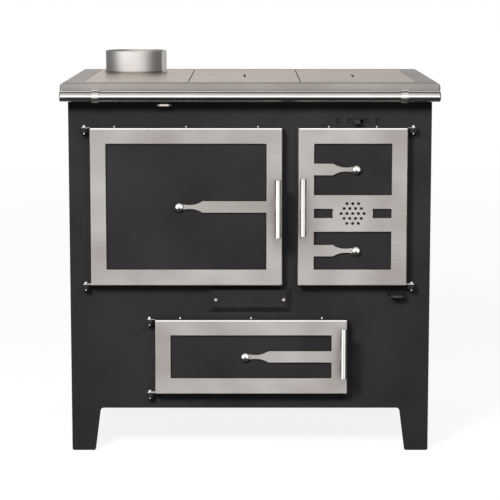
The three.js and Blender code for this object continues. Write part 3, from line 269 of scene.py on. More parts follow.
soft_lamp("left_lamp", (-1.15, -3.1, 2.3), (0.0, -0.25, 0.55), 0.8, 96)
soft_lamp("front_lamp", (0.6, -1.9, 1.9), (0.2, -0.25, 0.6), 1.0, 14)

# %% [markdown]
# Most finishes are one noise pattern used three times: it tones the colour, changes the roughness
# and raises the surface. It lies in the object's own coordinates with its grain in millimetres, so
# it stays on a door that swings. Values that don't change sit on the shader's own sockets.

# %% Material helpers
NOISE_LEAST, NOISE_MOST = 0.3, 0.7      # noise seldom goes past these


def new_material(name, values):
    """A material with one Principled shader, its output and object coordinates."""
    material = bpy.data.materials.new(name)
    material.use_nodes = True
    tree = material.node_tree
    tree.nodes.clear()
    shader = add_node(tree, "ShaderNodeBsdfPrincipled", values)
    add_node(tree, "ShaderNodeOutputMaterial", {}, {"Surface": shader.outputs[0]})
    place = add_node(tree, "ShaderNodeTexCoord")
    return material, tree, shader, place.outputs["Object"]


def grain(tree, place, size_mm, detail=3.0):
    """Noise whose features are about size_mm big: one number, or one for each of x, y and z."""
    sizes = size_mm if isinstance(size_mm, tuple) else (size_mm,) * 3
    scale = [1 / (size * MM) for size in sizes]
    mapping = add_node(tree, "ShaderNodeMapping", {"Scale": scale}, {"Vector": place})
    noise = add_node(tree, "ShaderNodeTexNoise", {"Scale": 1.0, "Detail": detail},
                     {"Vector": mapping.outputs[0]})
    return noise.outputs["Fac"]


def toned(tree, shader, factor, dark, bright, start=0.35, end=0.65):
    """Runs the colour from one hex colour to another as the factor goes from start to end."""
    ramp = add_node(tree, "ShaderNodeValToRGB", {}, {"Fac": factor})
    ramp.color_ramp.elements[0].position = start
    ramp.color_ramp.elements[1].position = end
    ramp.color_ramp.elements[0].color = linear(dark)
    ramp.color_ramp.elements[1].color = linear(bright)
    tree.links.new(ramp.outputs["Color"], shader.inputs["Base Color"])


def roughened(tree, shader, factor, low, high):
    """Runs the roughness from low to high as noise goes from its least to its most."""
    spread = add_node(tree, "ShaderNodeMapRange", {"From Min": NOISE_LEAST, "From Max": NOISE_MOST,
                                                   "To Min": low, "To Max": high},
                      {"Value": factor})
    tree.links.new(spread.outputs["Result"], shader.inputs["Roughness"])


def bumped(tree, shader, height, depth_mm):
    """Raises the surface by up to depth_mm where the height is 1."""
    bump = add_node(tree, "ShaderNodeBump", {"Strength": 1.0, "Distance": depth_mm * MM},
                    {"Height": height})
    tree.links.new(bump.outputs[0], shader.inputs["Normal"])


def noise_finish(name, values, size, colours, rough, relief, detail=3.0, relief_size=None):
    """Noise tones and roughens. It also makes the relief, unless that has a size of its own.
    colours may end with where on the noise they begin and end."""
    material, tree, shader, place = new_material(name, values)
    noise = grain(tree, place, size, detail)
    toned(tree, shader, noise, *colours)
    roughened(tree, shader, noise, *rough)
    height = noise if relief_size is None else grain(tree, place, relief_size)
    bumped(tree, shader, height, relief)
    print("finish:", name)
    return material


# %% [markdown]
# The body wears matt graphite stove paint, a silicone paint that stands the heat. It dries with a
# fine dusty grit. A glossy black would mirror the studio, so this finish has almost no clear
# reflection, only a faint haze that changes from place to place.

# %% Stove paint
PAINT_GRIT = 1.6      # real grit is near 0.2 mm, drawn coarser so that it shows

# To the eye: nearly black, dusty, with a dull sheen in wide soft patches
STOVE_PAINT = noise_finish(
    "stove_paint_graphite", {"IOR": 1.45, "Metallic": 0.0, "Specular IOR Level": 0.025},
    170, ("#333132", "#3B393A"), (0.62, 0.54), 0.05, relief_size=PAINT_GRIT)

# %% [markdown]
# Brushed stainless steel is ground with a belt, which leaves long fine scratches in one direction.
# Streaks alone look printed, because real ones also spread a reflection across the grain, so the
# shader is anisotropic, with its tangent turned round the axis that the scratches follow.

# %% Brushed stainless steel
BRUSH_WIDTH = 1.6     # real scratches are near 0.1 mm apart, drawn coarser so that they show
BRUSH_LENGTH = 34
BRUSH_SHARE = 0.45    # of the tone, the rest is clouds
BRUSH_DEPTH, BRUSH_ROUGHER = 0.014, 0.03
CLOUD = 110
TONE_START, TONE_END = 0.5, 0.95


def make_brushed_steel(name, dark, bright, rough, across, along, edge="#FFFFFF", turned=0.0):
    """along is the axis of the scratches, X or Z, across how much they spread a reflection."""
    material, tree, shader, place = new_material(
        name, {"Metallic": 1.0, "Specular Tint": linear(edge), "Anisotropic": across,
               "Anisotropic Rotation": turned})
    sizes = [BRUSH_WIDTH] * 3
    sizes["XYZ".index(along)] = BRUSH_LENGTH
    brush = grain(tree, place, tuple(sizes), 2.0)
    cloud = grain(tree, place, CLOUD, 1.0)
    both = add_node(tree, "ShaderNodeMath", {"operation": "MULTIPLY_ADD", 1: BRUSH_SHARE},
                    {0: brush, 2: cloud})
    toned(tree, shader, both.outputs[0], dark, bright, TONE_START, TONE_END)
    roughened(tree, shader, brush, rough - BRUSH_ROUGHER, rough + BRUSH_ROUGHER)
    bumped(tree, shader, brush, BRUSH_DEPTH)
    turn = add_node(tree, "ShaderNodeTangent", {"direction_type": "RADIAL", "axis": along})
    tree.links.new(turn.outputs[0], shader.inputs["Tangent"])
    print("finish:", name)
    return material


# Doors: silver-white with streaks from side to side, that glare softly upwards and downwards
BRUSHED_STAINLESS = make_brushed_steel("brushed_stainless", "#CFC8C3", "#EBE6E1", 0.60, 0.9, "X")
# Worktop: the same sheet, greyer from use, and a little closer to a mirror
WORKTOP_STAINLESS = make_brushed_steel("worktop_stainless", "#8F8B87", "#9B9793", 0.42, 0.5, "X",
                                       "#F1EDE9")
# Cooking plates: thick ground steel, warmer and faintly brown from heat
GROUND_PLATE = make_brushed_steel("ground_steel_plate", "#ADA59D", "#B9B1A9", 0.36, 0.3, "X",
                                  "#E8E2DC")
# Collar: scratches run upwards, so light and dark fall in soft upright bands
ROLLED_STAINLESS = make_brushed_steel("rolled_stainless", "#DDDAD6", "#E8E5E1", 0.50, 0.5, "Z",
                                      turned=0.25)

# %% [markdown]
# The rail, the handles and the studs are polished. Polish leaves almost no grain, but a perfect
# mirror looks like drawn glass, so a slight ripple and fine wiping marks break the reflection.

# %% Polished stainless steel
WIPE, WIPE_ROUGHER = 60, 0.015
RIPPLE, RIPPLE_DEPTH = 2, 0.002


def make_polished_steel(name, dark, bright, rough):
    """Broad wiping marks and a fine ripple."""
    return noise_finish(name, {"Metallic": 1.0}, WIPE, (dark, bright),
                        (rough - WIPE_ROUGHER, rough + WIPE_ROUGHER), RIPPLE_DEPTH,
                        relief_size=RIPPLE)


# Rail, handles, studs and pins: sharp dark and white lines along every round
POLISHED = make_polished_steel("polished_stainless", "#C9C5C0", "#D3D0CB", 0.13)
# Rail straps: the same steel less polished, so the lines blur
SATIN = make_polished_steel("satin_stainless", "#D4D1CD", "#DEDBD7", 0.25)
# Upper folds of the doors: smoother and lighter where they look up, a painted highlight line
FOLD_HIGHLIGHT = make_polished_steel("fold_highlight_stainless", "#E6E3DF", "#EEECE9", 0.22)

# %% [markdown]
# Inside, the stove is mild steel sheet that the fire has darkened, and grey cast iron with the
# grainy skin of its sand mould. The cover's screws and the damper's pull are zinc plated, which
# shows as small crystals. Each is the one-noise finish with its own grain and colours.

# %% Inner steels
# Blue-grey scale that turns brownish in patches
DARKENED_STEEL = noise_finish("heat_darkened_steel", {"Metallic": 0.7}, 30,
                              ("#3C3B3D", "#57544F"), (0.45, 0.62), 0.05, 5.0, 3)
# Dark, sandy and almost without shine
CAST_IRON = noise_finish("grey_cast_iron", {"Metallic": 0.35}, 2.5,
                         ("#1F1F20", "#343435"), (0.85, 0.65), 0.25, 4.0)
# Light warm grey that glints in specks
ZINC = noise_finish("zinc_plated_steel", {"Metallic": 1.0}, 2,
                    ("#A9A39A", "#C2BDB4"), (0.28, 0.4), 0.02)

# %% [markdown]
# Firebrick is pressed and fired clay. The knob is moulded phenolic, a hard black plastic. The door
# seal is a rope of glass fibre, braided in small diagonal strands: two sets of waves that lean
# opposite ways make its herringbone, which costs less than modelling the strands.

# %% Firebrick, knob and seal
BRAID = 6             # length of one strand's step along the rope


def make_seal_rope():
    """Grey-brown strands that lie over and under each other, with no shine."""
    material, tree, shader, place = new_material("braided_glass_fibre",
                                                 {"Metallic": 0.0, "IOR": 1.5})
    strands = []
    for lean in (1, -1):
        mapping = add_node(tree, "ShaderNodeMapping", {"Scale": (1, lean, 1)}, {"Vector": place})
        wave = add_node(tree, "ShaderNodeTexWave",
                        {"wave_type": "BANDS", "bands_direction": "DIAGONAL",
                         "Scale": 0.3 / (BRAID * MM), "Distortion": 0.6, "Detail": 1.0},
                        {"Vector": mapping.outputs[0]})
        strands.append(wave.outputs["Fac"])
    braid = math_node(tree, "MAXIMUM", *strands)
    toned(tree, shader, braid, "#26241F", "#57534A", 0.1, 0.9)
    roughened(tree, shader, braid, 0.95, 0.85)
    bumped(tree, shader, braid, 0.6)
    return material


SEAL_ROPE = make_seal_rope()
# Sandy buff with sharp darker specks and deep pits
FIREBRICK = noise_finish("pressed_fireclay", {"Metallic": 0.0, "IOR": 1.5}, 3,
                         ("#A88B62", "#CDB48A", 0.38, 0.6), (0.95, 0.85), 0.5, 6.0)
# Deep black with one small clear highlight
PHENOLIC = noise_finish("moulded_phenolic",
                        {"Metallic": 0.0, "IOR": 1.6, "Specular IOR Level": 0.3}, 5,
                        ("#0B0B0B", "#141414"), (0.22, 0.3), 0.02)
print("finishes:", len([m for m in bpy.data.materials if m.use_nodes]))

# %% [markdown]
# New pieces are modelled as by hand. An operator acts on all that is selected, so each helper first
# clears the selection and then takes up one piece. The place and size of a new block or bar go into
# its mesh at once, so every finished object stands at the origin, unturned and unscaled.

# %% Blocks and bars


def take_up(piece):
    """Makes this the only selected object, and the active one."""
    if bpy.context.mode != "OBJECT":
        bpy.ops.object.mode_set(mode="OBJECT")
    bpy.ops.object.select_all(action="DESELECT")
    piece.select_set(True)
    bpy.context.view_layer.objects.active = piece


def settle(name, stretch=(1, 1, 1)):
    """Names the new primitive and puts its place, turn and size into its mesh."""
    piece = bpy.context.active_object
    piece.name = name
    piece.data.name = name
    piece.scale = stretch
    take_up(piece)
    bpy.ops.object.transform_apply(location=True, rotation=True, scale=True)
    return piece


def new_shape(name, add, stretch=(1, 1, 1), **settings):
    """Adds one primitive with nothing else selected, in metres."""
    bpy.ops.object.select_all(action="DESELECT")
    add(**settings)
    return settle(name, stretch)


def add_block(name, low, high):
    """A block between two corners in millimetres."""
    stretch = [(b - a) * MM for a, b in zip(low, high)]
    return new_shape(name, bpy.ops.mesh.primitive_cube_add, stretch, size=1,
                     location=[c * MM for c in middle_of(low, high)])


def add_bar(name, start, end, radius, sides=48):
    """A round bar between two points in millimetres."""
    start, end = Vector(start) * MM, Vector(end) * MM
    return new_shape(name, bpy.ops.mesh.primitive_cylinder_add, vertices=sides,
                     radius=radius * MM, depth=(end - start).length, location=(start + end) / 2,
                     rotation=(end - start).to_track_quat("Z", "Y").to_euler())


def copy_of(piece, name, move):
    """A copy with its own mesh, moved by some millimetres."""
    take_up(piece)
    bpy.ops.object.duplicate()
    bpy.context.active_object.location = [distance * MM for distance in move]
    return settle(name)


def gather(piece, others):
    """Puts the others into the piece's object as they are, without welding them."""
    take_up(piece)
    for other in others:
        other.select_set(True)
    bpy.ops.object.join()


# %% [markdown]
# In edit mode a rule picks the faces, edges or points to work on, which still holds when a size
# changes, where a list of numbers wouldn't. A modifier is applied as soon as it is set, so the next
# step works on the real mesh.

# %% Editing, cutting and rounding


def pick(piece, choose, kind="FACE"):
    """Opens the piece in edit mode with only the faces, edges or points that choose accepts."""
    take_up(piece)
    bpy.ops.object.mode_set(mode="EDIT")
    bpy.ops.mesh.select_mode(type=kind)
    bpy.ops.mesh.select_all(action="DESELECT")
    mesh = bmesh.from_edit_mesh(piece.data)
    for part in {"FACE": mesh.faces, "EDGE": mesh.edges, "VERT": mesh.verts}[kind]:
        part.select_set(bool(choose(part)))
    mesh.select_flush_mode()
    bmesh.update_edit_mesh(piece.data)


def leave(piece):
    """Back to object mode."""
    bpy.ops.object.mode_set(mode="OBJECT")
    return piece


def modify(piece, kind, **settings):
    """Adds a modifier with its settings and applies it."""
    take_up(piece)
    modifier = piece.modifiers.new(kind.title(), kind)
    for name, value in settings.items():
        setattr(modifier, name, value)
    bpy.ops.object.modifier_apply(modifier=modifier.name)
    return piece


def cut(piece, *tools, operation="DIFFERENCE"):
    """Cuts the tools out of the piece, or joins them to it, and removes them."""
    for tool in tools:
        modify(piece, "BOOLEAN", operation=operation, solver="EXACT", object=tool)
        bpy.data.objects.remove(tool)
    return piece


def join(piece, *others):
    """Makes several pieces one solid."""
    cut(piece, *others, operation="UNION")


def soften(piece, radius, segments=2, angle=40):
    """Rounds every edge sharper than the angle, by a radius in millimetres."""
    return modify(piece, "BEVEL", width=radius * MM, segments=segments, limit_method="ANGLE",
                  angle_limit=math.radians(angle), use_clamp_overlap=False)


# %% [markdown]
# Every piece ends the same way. Its faces are shaded smooth over small angles and stay sharp over
# large ones, it gets its finish, and it is hung on the CAD body that it moves with, in place of the
# CAD nodes that it stands for.

# %% Finishing a piece
SMOOTH_ANGLE = 25


def finish_piece(piece, material, body, slot, *nodes):
    """Smooths, paints and hangs a piece on its body, in place of the CAD nodes it stands for."""
    take_up(piece)
    bpy.ops.object.shade_smooth_by_angle(angle=math.radians(SMOOTH_ANGLE))
    # Large flat faces keep their own normal, so that a rounded edge doesn't shade into them.
    modify(piece, "WEIGHTED_NORMAL", weight=100, keep_sharp=True)
    piece.data.materials.clear()
    piece.data.materials.append(material)
    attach(piece, body)
    if nodes:
        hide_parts(*nodes)
    print(piece.name, "-", len(piece.data.polygons), "faces")


# %% [markdown]
# Sheet-metal parts whose CAD shape is already right get only what a press or a grinder leaves: a
# small radius on every edge, which catches a line of light. A copy of the CAD mesh is merged, its
# flat faces are made whole again, and the edges are rounded.

# %% Sheet copies
MERGE = 0.00001       # metres
FLAT_ANGLE = 0.5      # degrees
# The radius that each way of working leaves on an edge, in millimetres
SHEARED, FOLDED, GROUND, STAMPED = 0.3, 0.4, 0.5, 0.6
DRAWN, CAST, PRESSED, WORN = 0.8, 1.0, 1.2, 1.5


def bare_copy(node_name, name):
    """A copy of a CAD node, merged, with its flat faces whole."""
    take_up(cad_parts[node_name])
    bpy.ops.object.duplicate()
    piece = bpy.context.active_object
    piece.parent = None
    for key in [key for key in piece.keys() if key.startswith("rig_")]:
        del piece[key]
    piece.name = name
    piece.data.name = name
    pick(piece, lambda face: True)
    bpy.ops.mesh.remove_doubles(threshold=MERGE)
    bpy.ops.mesh.dissolve_limited(angle_limit=math.radians(FLAT_ANGLE))
    return leave(piece)


def dress_sheet(node_name, name, radius, material, body, slot, segments=2):
    """A copy with rounded edges, finished, in place of its node."""
    piece = soften(bare_copy(node_name, name), radius, segments)
    finish_piece(piece, material, body, slot, node_name)


# %% [markdown]
# The worktop is a stainless frame folded down at its edges. Three thick steel plates lie in it, and
# two of them lift out by a slot in the middle. The front fold is the one that shows as a round, so
# it is rounded first and by more.

# %% Worktop
FRONT_FOLD = 2.4
NEAR_EDGE = 0.3       # how near to the top front edge a point counts as on it
top_low, top_high = box_of("top_frame")
worktop = bare_copy("top_frame", "worktop_frame")
pick(worktop, lambda edge: all(v.co.y < (top_low.y + NEAR_EDGE) * MM
                               and v.co.z > (top_high.z - NEAR_EDGE) * MM
                               for v in edge.verts), "EDGE")
bpy.ops.mesh.bevel(offset=FRONT_FOLD * MM, segments=5, affect="EDGES")
leave(worktop)
soften(worktop, GROUND)
finish_piece(worktop, WORKTOP_STAINLESS, "stove", "stainless", "top_frame")
for side in ("centre", "right"):
    dress_sheet(side + "_cook_plate", side + "_plate", GROUND, GROUND_PLATE, side + "_plate",
                "cooking_steel")

# %% [markdown]
# The flue plate has a hole for the smoke, as wide as the collar inside. It is drilled here as in a
# workshop: a round bar stands through the plate and is cut out of it.

# %% Flue plate
COLLAR_X, COLLAR_RADIUS, COLLAR_SHEET = -284, 75, 2.2
BORE_REACH = 5        # how far the drill stands out of the plate
plate_low, plate_high = box_of("flue_plate")
collar_low, collar_high = box_of("flue_collar")
COLLAR_Y = middle_of(collar_low, collar_high)[1]

flue_plate = soften(add_block("flue_cook_plate", plate_low, plate_high), GROUND)
cut(flue_plate, add_bar("bore", (COLLAR_X, COLLAR_Y, plate_low.z - BORE_REACH),
                        (COLLAR_X, COLLAR_Y, plate_high.z + BORE_REACH),
                        COLLAR_RADIUS - COLLAR_SHEET, 96))
finish_piece(flue_plate, GROUND_PLATE, "stove", "cooking_steel", "flue_plate")

# %% [markdown]
# The flue collar is a strip of stainless sheet rolled into a ring, with its ends overlapping at the
# front. A flat strip could be bent, but an open cylinder is simpler: it gets the sheet's thickness
# from a modifier, and the faces under the overlap are pushed out by a step.

# %% Flue collar
LAP_FROM, STRAIGHT_FROM, LAP_TO = -81, -30, -19     # degrees from +X, negative at the front
LAP_STEP, COLLAR_EDGE = 1.0, 0.35

collar = new_shape(
    "flue_collar_ring", bpy.ops.mesh.primitive_cylinder_add, vertices=144,
    radius=(COLLAR_RADIUS - COLLAR_SHEET) * MM, depth=(collar_high.z - collar_low.z) * MM,
    location=(COLLAR_X * MM, COLLAR_Y * MM, (collar_low.z + collar_high.z) / 2 * MM),
    end_fill_type="NOTHING")
modify(collar, "SOLIDIFY", thickness=COLLAR_SHEET * MM, offset=1.0)


def from_axis(point):
    """The way from the collar's axis to a point, seen from above."""
    return Vector((point.x - COLLAR_X * MM, point.y - COLLAR_Y * MM))


def plan_angle(point):
    """Degrees round the collar's axis, from +X towards the back."""
    out = from_axis(point)
    return math.degrees(math.atan2(out.y, out.x))


SQUARE_ON = 0.9       # how much of a face's normal lies along the way it looks


def under_lap(face):
    """Whether a face is on the ring's outside, between the two ends of the lap."""
    middle = face.calc_center_median()
    looks_out = face.normal.xy.dot(from_axis(middle).normalized()) > SQUARE_ON
    return looks_out and LAP_FROM < plan_angle(middle) < LAP_TO


pick(collar, under_lap)
bpy.ops.mesh.extrude_region_shrink_fatten(TRANSFORM_OT_shrink_fatten={"value": LAP_STEP * MM})
leave(collar)
print("collar:", len(collar.data.polygons), "faces")

# %% [markdown]
# On the real collar the outer end has sprung open and stands off at the right as a straight flap.
# Each column of points there is moved from the ring on to a straight line, which keeps the flap's
# height and thickness.

# %% Sprung end
FLAP_FACES = -66      # degrees: the way that the sprung end faces
SAME_COLUMN = 0.3     # degrees
lap_radius = COLLAR_RADIUS + LAP_STEP
touch, facing = math.radians(STRAIGHT_FROM), math.radians(FLAP_FACES)


def on_lap(point):
    """Whether a point stands further out than the ring."""
    return from_axis(point).length > (COLLAR_RADIUS + LAP_STEP / 2) * MM


columns = sorted({round(plan_angle(v.co), 1) for v in collar.data.vertices
                  if on_lap(v.co) and plan_angle(v.co) > STRAIGHT_FROM})
for column in columns:
    angle = math.radians(column)
    along = lap_radius * (angle - touch)
    target = (lap_radius * math.cos(touch) - along * math.sin(facing),
              lap_radius * math.sin(touch) + along * math.cos(facing))
    pick(collar, lambda v: on_lap(v.co) and abs(plan_angle(v.co) - column) < SAME_COLUMN, "VERT")
    bpy.ops.transform.translate(value=((target[0] - lap_radius * math.cos(angle)) * MM,
                                       (target[1] - lap_radius * math.sin(angle)) * MM, 0))
    leave(collar)
print("straight columns of the lap:", len(columns))
soften(collar, COLLAR_EDGE)
finish_piece(collar, ROLLED_STAINLESS, "stove", "stainless", "flue_collar")

# %% [markdown]
# A weld bead holds the ring to the plate. It is the upper half of a thin torus sunk a little into
# the corner between the two, cut off flat at the plate.

# %% Weld bead
BEAD_RADIUS, BEAD_OUT, BEAD_UP = 2.4, 0.4, 0.6
bead = new_shape(
    "flue_collar_bead", bpy.ops.mesh.primitive_torus_add, major_segments=96, minor_segments=10,
    major_radius=(COLLAR_RADIUS + BEAD_OUT) * MM, minor_radius=BEAD_RADIUS * MM,
    location=(COLLAR_X * MM, COLLAR_Y * MM, (collar_low.z + BEAD_UP) * MM))
pick(bead, lambda face: True)
bpy.ops.mesh.bisect(plane_co=(0, 0, collar_low.z * MM), plane_no=(0, 0, 1), use_fill=True,
                    clear_inner=True)
leave(bead)
finish_piece(bead, ZINC, "stove", "stainless", "flue_collar")

# %% [markdown]
# Caps, studs, screws and pins all end in a dome. A profile could be turned round an axis, but a
# ball cut in half is quicker, and one helper serves them all.

# %% Domes


def add_dome(name, place, direction, radius, height, segments=32):
    """A dome on its flat side, place at the middle of the flat, in millimetres."""
    centre, out = Vector(place) * MM, Vector(direction).normalized()
    dome = new_shape(name, bpy.ops.mesh.primitive_uv_sphere_add, (1, 1, height / radius),
                     segments=segments, ring_count=segments // 2, radius=radius * MM,
                     location=centre, rotation=out.to_track_quat("Z", "Y").to_euler())
    pick(dome, lambda face: True)
    bpy.ops.mesh.bisect(plane_co=centre, plane_no=out, use_fill=True, clear_inner=True)
    return leave(dome)


# %% [markdown]
# The towel rail is a polished tube with domed end caps, held by two straps bent round it. It is a
# bar with a thinner bar cut out of it, and each cap has a plug that goes into the tube, as the
# pressed caps of a real rail have.

# %% Towel rail
RAIL_WALL, CAP_GAP = 1.2, 0.3
PLUG_IN, PLUG_OUT = 12, 0.5
rail_low, rail_high = box_of("towel_rail")
RAIL_RADIUS = (rail_high.z - rail_low.z) / 2
_, rail_y, rail_z = middle_of(rail_low, rail_high)


def rail_bar(name, start_x, end_x, radius, sides=48):
    """A bar on the rail's own line."""
    return add_bar(name, (start_x, rail_y, rail_z), (end_x, rail_y, rail_z), radius, sides)


rail = rail_bar("towel_rail_tube", rail_low.x, rail_high.x, RAIL_RADIUS, 72)
cut(rail, rail_bar("bore", rail_low.x - BORE_REACH, rail_high.x + BORE_REACH,
                   RAIL_RADIUS - RAIL_WALL, 72))
finish_piece(rail, POLISHED, "stove", "polished_steel", "towel_rail")

for side, sign in (("left", -1), ("right", 1)):
    cap_low, cap_high = box_of("rail_end_cap_" + side)
    face = rail_low.x - CAP_GAP if sign < 0 else rail_high.x + CAP_GAP
    tip = cap_low.x if sign < 0 else cap_high.x
    cap = add_dome("rail_cap_" + side, (face, rail_y, rail_z), (sign, 0, 0), RAIL_RADIUS,
                   abs(tip - face), 48)
    join(cap, rail_bar("plug", face - sign * PLUG_IN, face + sign * PLUG_OUT,
                       RAIL_RADIUS - RAIL_WALL - CAP_GAP))
    finish_piece(cap, POLISHED, "stove", "polished_steel", "rail_end_cap_" + side)
    dress_sheet("rail_strap_" + side, "rail_clip_" + side, FOLDED, SATIN, "stove", "stainless")

# %% [markdown]
# The body is cut and welded from painted sheet. Its front carries the hinge knuckles, the latch
# keepers and the guides of the air register. The CAD has all of that, so sheet copies are enough.

# %% Body
for node_name, name in (("front_panel", "body_front"), ("left_side_panel", "body_left"),
                        ("right_side_panel", "body_right"), ("back_panel", "body_back")):
    dress_sheet(node_name, name, FOLDED, STOVE_PAINT, "stove", "black_paint")

# %% [markdown]
# Each door is a painted pan behind a bright fascia, a single stainless sheet folded back round the
# pan. All its parts are laid out on one plan: the outline as the pan gives it, and the window that
# leaves an even frame. Areas of the front are named by their four sides, to read like a drawing.

# %% Door plans
FRAME_WIDTH = 36
PAN_INSET = 1.8
Area = namedtuple("Area", "left right bottom top")


def grown(area, by):
    """The area with every side moved outwards."""
    return Area(area.left - by, area.right + by, area.bottom - by, area.top + by)


def door_plan(prefix):
    """The door's outline and window, from its pan, in millimetres."""
    low, high = box_of(prefix + "_pan")
    outline = grown(Area(low.x, high.x, low.z, high.z), PAN_INSET)
    return outline, grown(outline, -FRAME_WIDTH)


def add_slab(name, area, depth):
    """A block over an area of the front, between two depths y."""
    return add_block(name, (area.left, depth[0], area.bottom), (area.right, depth[1], area.top))


fascia_front = box_of("oven_door_fascia")[0].y
print("fascias' front at y:", round(fascia_front, 2))

# %% [markdown]
# A strap of the same sheet is left across each window, which narrows to a neck and ends in a disc.
# A curve object could be its outline, but it is drawn by extruding the end of a bar again and
# again, each time a little narrower or wider, which keeps it a clean row of quads.

# %% Straps
STRAP_HALF, NECK_HALF = 13, 4.5
TAPER, STRAP_BEND = 28, 0.5
DISC_AT, DISC_RADIUS, DISC_MEET = 52.5, 9.5, 140    # the neck meets the disc at 140 degrees
STRAP_ROOT = 4        # how far a strap's root reaches under the frame


def curve(a, b, c, steps):
    """Points along a quadratic curve from a to c, pulled towards b, without a itself."""
    return [tuple((1 - t) ** 2 * p + 2 * t * (1 - t) * q + t * t * r for p, q, r in zip(a, b, c))
            for t in (i / steps for i in range(1, steps + 1))]


def strap_rows(straight):
    """Distance along the strap and half width there, from the end of the straight part."""

    def on_disc(degrees):
        angle = math.radians(degrees)
        return straight + DISC_AT + DISC_RADIUS * math.cos(angle), DISC_RADIUS * math.sin(angle)

    start, neck = on_disc(DISC_MEET), (straight + TAPER, NECK_HALF)
    rows = curve((straight, STRAP_HALF), (straight + TAPER * STRAP_BEND, NECK_HALF), neck, 8)
    rows += curve(neck, ((neck[0] + start[0]) / 2, NECK_HALF), start, 3)
    return rows + [on_disc(degrees) for degrees in range(DISC_MEET - 10, 0, -10)]


def add_strap(root_x, z, way, straight, depth):
    """A strap from root_x along x, way +1 or -1, as thick as depth gives, low y and high y."""
    middle = root_x + way * (straight - STRAP_ROOT) / 2
    strap = new_shape("strap", bpy.ops.mesh.primitive_plane_add,
                      ((straight + STRAP_ROOT) * MM, 2 * STRAP_HALF * MM, 1), size=1,
                      location=(middle * MM, depth[0] * MM, z * MM),
                      rotation=(math.pi / 2, 0, 0))
    at, half = straight, STRAP_HALF
    pick(strap, lambda v: way * (v.co.x - root_x * MM) > (straight - 1) * MM, "VERT")
    bpy.ops.mesh.select_mode(type="EDGE")
    for distance, width in strap_rows(straight):
        bpy.ops.mesh.extrude_region_move(
            TRANSFORM_OT_translate={"value": (way * (distance - at) * MM, 0, 0)})
        bpy.ops.transform.resize(value=(1, 1, width / half),
                                 center_override=(0, depth[0] * MM, z * MM))
        at, half = distance, width
    bpy.ops.mesh.select_mode(type="FACE")
    bpy.ops.mesh.select_all(action="SELECT")
    bpy.ops.mesh.extrude_region_move(
        TRANSFORM_OT_translate={"value": (0, (depth[1] - depth[0]) * MM, 0)})
    bpy.ops.mesh.select_all(action="SELECT")
    bpy.ops.mesh.normals_make_consistent(inside=False)
    return leave(strap)


print("points along a strap's edge:", len(strap_rows(0)))

# %% [markdown]
# The fascia starts as a block with its back taken off. Its front edges are rounded as a press folds
# them, and a modifier gives the sheet's thickness. Each window is punched with one tool that has
# the strap's shape left out, so that strap and frame stay a single sheet.

# %% Tray and window punch
SHEET, FOLD_RADIUS, FASCIA_DEPTH = 1.5, 3.4, 25
PUNCH = (fascia_front - 3, fascia_front + 5)        # from before the sheet to behind it
PUNCH_ROOM = 2        # how far what shapes a punch stands out of it


def add_tray(name, outline):
    """The folded fascia sheet before its window is cut."""
    tray = add_slab(name, outline, (fascia_front, fascia_front + FASCIA_DEPTH))
    pick(tray, lambda face: face.normal.y > SQUARE_ON)
    bpy.ops.mesh.delete(type="ONLY_FACE")
    leave(tray)
    pick(tray, lambda edge: all(abs(v.co.y - fascia_front * MM) < MM / 10 for v in edge.verts),
         "EDGE")
    bpy.ops.mesh.bevel(offset=FOLD_RADIUS * MM, segments=4, affect="EDGES")
    leave(tray)
    return modify(tray, "SOLIDIFY", thickness=SHEET * MM, offset=-1.0, use_even_offset=True)


def window_punch(area, straps):
    """A cutter for one window, less the straps that cross it."""
    punch = add_slab("punch", area, PUNCH)
    depth = (PUNCH[0] - PUNCH_ROOM, PUNCH[1] + PUNCH_ROOM)
    return cut(punch, *(add_strap(*strap, depth) for strap in straps))


# %% [markdown]
# Two ears of the sheet reach over the hinge knuckles, and the pins drop through them. The upward
# faces of the upper folds get a second material, smoother and lighter: a painted highlight line.

# %% Fascias of the oven and the storage door
EAR_RADIUS, EAR_HOLE, EAR_ROOT = 6, 4.1, 1.0
DRILL = 4             # how far the ear's drill reaches each way
HIGHLIGHT_BELOW = 0.5    # how far the painted highlight strip goes below the fold
LOOKS_UP = 0.1        # how much a face looks up to count as part of it
LONG_STRAP, SHORT_STRAP = 144, 43


def add_ears(fascia, prefix, outline, way):
    """Two ears that reach from the folded edge over the hinge knuckles."""
    x, y, _ = middle_of(*box_of(prefix.replace("_door", "") + "_hinge_pin_upper"))
    edge = outline.right if way > 0 else outline.left
    for z in (outline.top - SHEET, outline.bottom):
        xs = sorted((edge - way * EAR_ROOT, x))
        ear = add_block("ear", (xs[0], y - EAR_RADIUS, z), (xs[1], y + EAR_RADIUS, z + SHEET))
        join(ear, add_bar("end", (x, y, z), (x, y, z + SHEET), EAR_RADIUS, 40))
        cut(ear, add_bar("hole", (x, y, z - DRILL), (x, y, z + DRILL), EAR_HOLE, 32))
        join(fascia, ear)


def add_fascia(prefix, way, windows, tools=()):
    """way is +1 where the hinges are at the right. windows are (area, straps)."""
    outline = door_plan(prefix)[0]
    fascia = add_tray(prefix + "_front_sheet", outline)
    for area, straps in windows:
        cut(fascia, window_punch(area, straps))
    cut(fascia, *tools)
    soften(fascia, GROUND, 1, 50)
    add_ears(fascia, prefix, outline, way)
    finish_piece(fascia, BRUSHED_STAINLESS, prefix, "stainless", prefix + "_fascia")
    # The upward faces of the top fold get the lighter, smoother steel: a painted highlight line.
    fascia.data.materials.append(FOLD_HIGHLIGHT)
    highlight_from = (outline.top - FOLD_RADIUS - HIGHLIGHT_BELOW) * MM
    for face in fascia.data.polygons:
        if face.normal.z > LOOKS_UP and face.center.z > highlight_from:
            face.material_index = 1


for prefix in ("oven_door", "storage_door"):
    outline, window = door_plan(prefix)
    middle_z = (outline.bottom + outline.top) / 2
    add_fascia(prefix, -1, [(window, [(window.right, middle_z, -1, LONG_STRAP)])])

